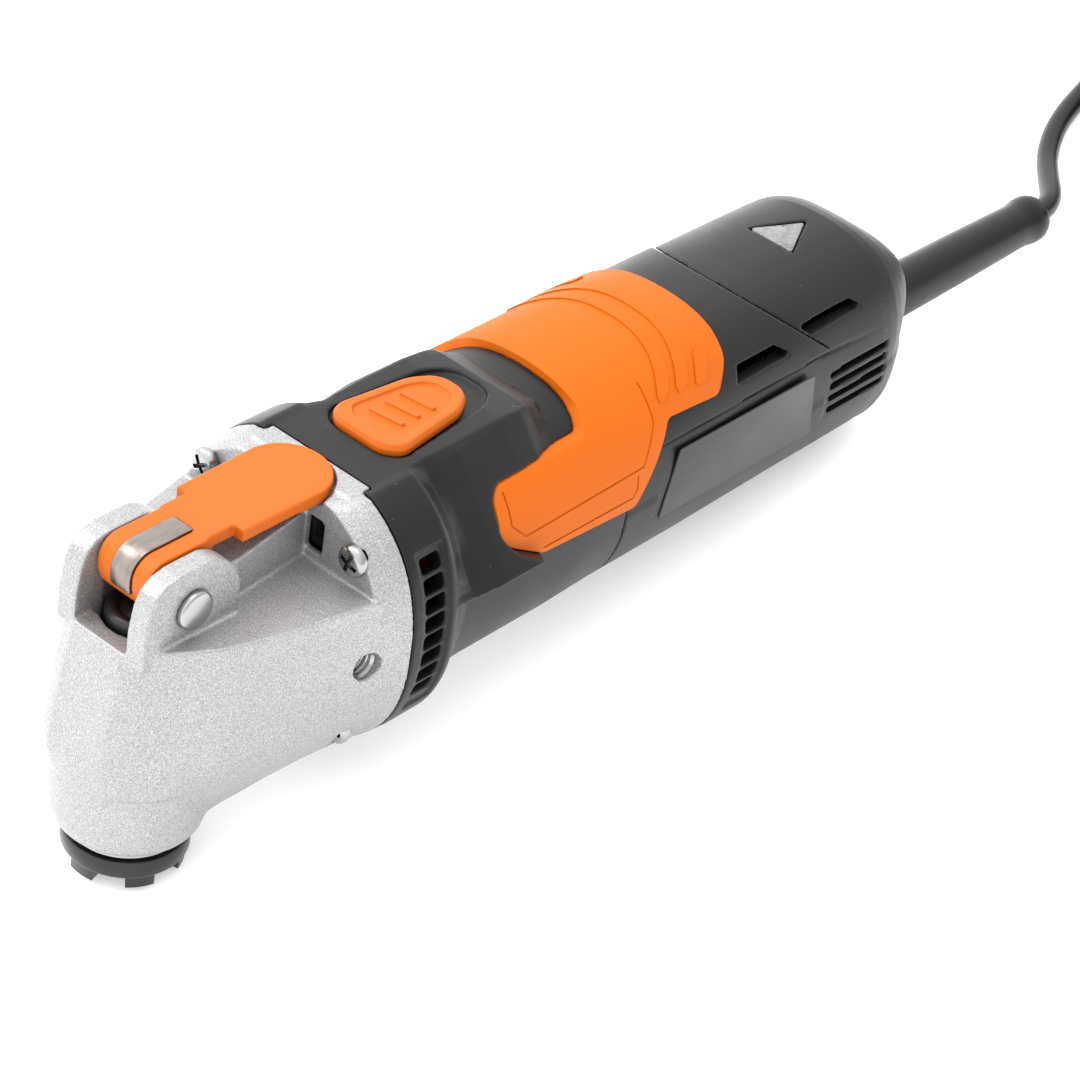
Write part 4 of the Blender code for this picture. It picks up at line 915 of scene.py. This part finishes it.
def rear_shell():
    rear = shell(0.45)
    keep(rear, prism(rear_profile(), -60, 60, "xz"))
    for side in (-1, 1):
        lo, hi = sorted((side * 20.0, side * 40.0))
        cut(rear, prism([(206.0, 19.2), (202.2, 22.0), (223.2, 22.2), (227.4, 19.4)], lo, hi, "xz"))
        label_frame = rounded([(141.6, -9.6), (146.0, 13.0), (206.4, 12.6), (209.2, -9.6)], 1.0)
        cut(rear, prism(label_frame, *sorted((side * 30.75, side * 40.0)), "xz"))
        cut(rear, prism(grown(LABEL, GAP), *sorted((side * 30.2, side * 40.0)), "xz"))
        grille = rounded([(210.8, -6.6), (209.8, 9.6), (238.5, 9.0), (238.5, -6.6)], 1.0)
        cut(rear, prism(grille, *sorted((side * 30.0, side * 40.0)), "xz"))
        for k in range(4):
            z = 6.6 - 3.6 * k
            bar = [(212.0 + 0.3 * k, z - 1.0), (236.5, z - 1.0), (236.5, z + 1.0), (211.7 + 0.3 * k, z + 1.0)]
            cut(rear, prism(bar, lo, hi, "xz"))
        groove = [(207.0, 14.4), (241.0, 12.0), (241.0, 10.9), (207.0, 13.2)]
        relief(rear, 30.0, 40.0, groove, "xz", lo, hi, "DIFFERENCE", 200.0, 245.0)
    cut(rear, prism(grown(LENS, GAP), 20, 40, "xy"))
    cut(rear, disc(6.4, 245, 275, 48, "x", (0, 0, GUARD_Z)))
    cut(rear, *(turned([(2.0, -20), (2.0, -29.6), (3.9, -29.6), (3.9, -36)], 32, "z", (x, y, 0))
                for x, y in HOUSING_SCREWS))
    soften(rear, SHELL_VOXEL, 5, 0.24)
    finish(rear, "rear_shell", "housing", "black_plastic", ["rear_housing"], 60)


def band_x(base, y):
    """The ribs keep near one station on top and sweep forwards down the sides."""
    return base - 8.6 * (abs(y) / 25.0) ** 2.7


def rib_outline(front, rear, reach, near=0.0):
    """A band across the grip seen from above, between two stations on top."""
    steps = 40
    start = near or -reach
    fore = []
    aft = []
    for k in range(steps + 1):
        y = start + (reach - start) * k / steps
        edge = min(1.0, min(abs(y - start), abs(y - reach)) / RIB_ROUND)
        tuck = RIB_ROUND * (1.0 - math.sqrt(1.0 - (1.0 - edge) ** 2))
        fore.append((band_x(front, y) + tuck, y))
        aft.append((band_x(rear, y) - tuck, y))
    return fore + list(reversed(aft))


def ribbon(points, width):
    """A thin band along a line of points."""
    left = []
    right = []
    for i, p in enumerate(points):
        p0, p1 = Vector(points[max(0, i - 1)]), Vector(points[min(len(points) - 1, i + 1)])
        d = (p1 - p0).normalized() * (width / 2)
        left.append((p[0] - d.y, p[1] + d.x))
        right.append((p[0] + d.y, p[1] - d.x))
    return left + list(reversed(right))


def grip():
    obj = tube(GRIP_OUT, GRIP_IN, 78.0, 180.0)
    keep(obj, prism(rounded(GRIP_SIDE, 1.4), -60, 60, "xz"))
    bevelled(obj, 0.45, 3, 35)
    for front, rear in ((152.9, 157.4), (160.0, 164.6)):
        relief(obj, 32.2, GRIP_OUT + 0.35, rib_outline(front, rear, 25.2), "xy", 5, 40, "UNION", 120, 174)
    for side in (-1, 1):
        oval = rib_outline(167.4, 172.0, side * 25.6, side * 19.4)
        relief(obj, 32.2, GRIP_OUT + 0.35, oval, "xy", 5, 40, "UNION", 120, 174)
        lo, hi = sorted((side * 10.0, side * 40.0))
        for line in (PANEL_LINE, LOWER_LINE):
            groove = ribbon(line, 0.5)
            relief(obj, GRIP_OUT - 0.3, 40.0, groove, "xz", lo, hi, "DIFFERENCE", 80, 174)
    finish(obj, "soft_grip", "housing", "orange_rubber", ["grip_overmould"], 30)


def trim():
    for i, side in enumerate((-1, 1)):
        y0, y1 = sorted((side * 30.5, side * 31.0))
        panel = make("panel", *prism(rounded(LABEL, 0.8), y0, y1, "xz"))
        finish(bevelled(panel, 0.12), f"blank_label_{i + 1}", "housing", "grey_label", [f"label_panel_{i + 1}"])
    lens = make("lens", *prism(rounded(LENS, 1.6), 24.0, 30.3, "xy"))
    finish(bevelled(lens, 0.35, 3), "status_lens", "housing", "clear_lens", ["indicator_lens"])
    for i, (x, y) in enumerate(HOUSING_SCREWS):
        profile = [(1.7, -16.0), (1.7, -29.9), (3.5, -29.9), (3.5, -30.2), (3.1, -30.6), (2.2, -30.9)]
        screw = make("screw", *turned(profile, 40, "z", (x, y, 0)))
        for w, h in ((1.8, 0.4), (0.4, 1.8)):
            cut(screw, box((x - w, y - h, -33), (x + w, y + h, -30.3)))
        finish(screw, f"shell_screw_{i + 1}", "housing", "bright_steel", [f"housing_screw_{i + 1}"], 35)


def switch():
    base = rounded(button_plan(0, 0), 2.6, 7)
    middle = (BUTTON_X0 + BUTTON_X1) / 2
    top = [(middle + (x - middle) * 0.955, y * 0.93, BUTTON_TOP) for x, y in base]
    low = [(x, y, 33.3) for x, y in base]
    mid = [(x, y, BUTTON_TOP - 1.3) for x, y in base]
    button = make("button", *rings([low, mid, top]))
    dish = [(x * 0.76 + middle * 0.24, y * 0.72) for x, y in base]
    cut(button, prism(dish, BUTTON_TOP - 0.75, BUTTON_TOP + 3, "xy"))
    for x in (74.2, 79.4, 84.6):
        verts, faces = box((x - 0.75, -4.7, BUTTON_TOP - 1.4), (x + 0.75, 4.7, BUTTON_TOP + 0.1))
        join(button, ([(a - 0.14 * b, b, c) for a, b, c in verts], faces))
    join(button, box((76.0, -2.6, 29.0), (86.0, 2.6, 34.0)))
    soften(button, BUTTON_VOXEL, 3)
    finish(button, "slide_button", "switch", "orange_plastic", ["switch_button"], 60)


# ---------------------------------------------------------------- cord

def smooth_path(points):
    """Evenly spaced points on a smooth curve through the given ones."""
    pts = [Vector(p) for p in points]
    pts = [2 * pts[0] - pts[1]] + pts + [2 * pts[-1] - pts[-2]]
    fine = []
    for i in range(1, len(pts) - 2):
        p0, p1, p2, p3 = pts[i - 1: i + 3]
        for k in range(20):
            t = k / 20
            fine.append(0.5 * (2 * p1 + (p2 - p0) * t + (2 * p0 - 5 * p1 + 4 * p2 - p3) * t * t
                               + (3 * p1 - p0 - 3 * p2 + p3) * t ** 3))
    fine.append(pts[-2])
    out = [fine[0]]
    run = 0.0
    for a, b in zip(fine, fine[1:]):
        run += (b - a).length
        if run >= CORD_STEP:
            out.append(b)
            run = 0.0
    out.append(fine[-1])
    return out


def coil_path():
    """The wound turns, clockwise from where the run along the floor meets the coil."""
    pts = []
    for k in range(TURN_STEPS * len(TURNS) + 1):
        turn = min(k // TURN_STEPS, len(TURNS) - 1)
        f = k / TURN_STEPS - turn
        r, z = TURNS[turn]
        if turn + 1 < len(TURNS) and f > 1 - SHIFT_SHARE:
            t = (f - 1 + SHIFT_SHARE) / SHIFT_SHARE
            t = t * t * (3 - 2 * t)
            r += (TURNS[turn + 1][0] - r) * t
            z += (TURNS[turn + 1][1] - z) * t
        a = math.radians(COIL_START - 360 * k / TURN_STEPS)
        pts.append((COIL_X + r * MM * math.cos(a), COIL_Y + r * MM * math.sin(a), z * MM))
    return pts


def cord():
    wound = coil_path()
    path = smooth_path(ROUTE)[:-1] + wound + smooth_path(wound[-1:] + TO_PLUG)[1:]
    curve = bpy.data.curves.new("supply_cord", "CURVE")
    curve.dimensions = "3D"
    curve.bevel_depth = CORD_D / 2
    curve.bevel_resolution = 5
    curve.use_fill_caps = True
    spline = curve.splines.new("POLY")
    spline.points.add(len(path) - 1)
    for point, p in zip(spline.points, path):
        point.co = (*p, 1)
    curve.materials.append(LOOKS["black_rubber"])
    obj = bpy.data.objects.new("supply_cord", curve)
    bpy.context.scene.collection.objects.link(obj)
    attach(obj, "housing")
    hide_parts("mains_cord", "cord_coil")


def strain_relief():
    profile = [(3.5, 246.5), (9.2, 246.5), (9.2, 249.9), (5.8, 250.7), (5.8, 256.5), (7.7, 257.0), (7.3, 285.0),
               (6.95, 310.0), (6.55, 330.0), (6.35, 338.0), (6.4, 341.0), (6.75, 343.0), (7.0, 345.0),
               (6.9, 347.2), (6.3, 348.7), (5.0, GUARD_END_X), (3.5, GUARD_END_X - 0.3)]
    obj = make("guard", *turned(profile, 64, "x", (0, 0, GUARD_Z), closed=True))
    finish(obj, "strain_relief", "housing", "black_rubber", ["cord_guard"], 50)


def dress_cad():
    """Gives each CAD node that still shows the look of its slot."""
    slots = {s["node"]: s["material_slot"] for s in frame["record"]["subparts"]}
    for name, obj in frame["nodes"].items():
        look = LOOKS[slots[name]]
        if not obj.data.materials:
            obj.data.materials.append(look)
        for slot in obj.material_slots:
            slot.material = look


LOOKS = make_materials()
make_camera()
cord()
strain_relief()
make_stage()
cast_head()
handle_threads()
head_screws()
lever_paddle()
clamp_pieces()
star_hub()
motor_shell()
rear_shell()
grip()
trim()
switch()
dress_cad()
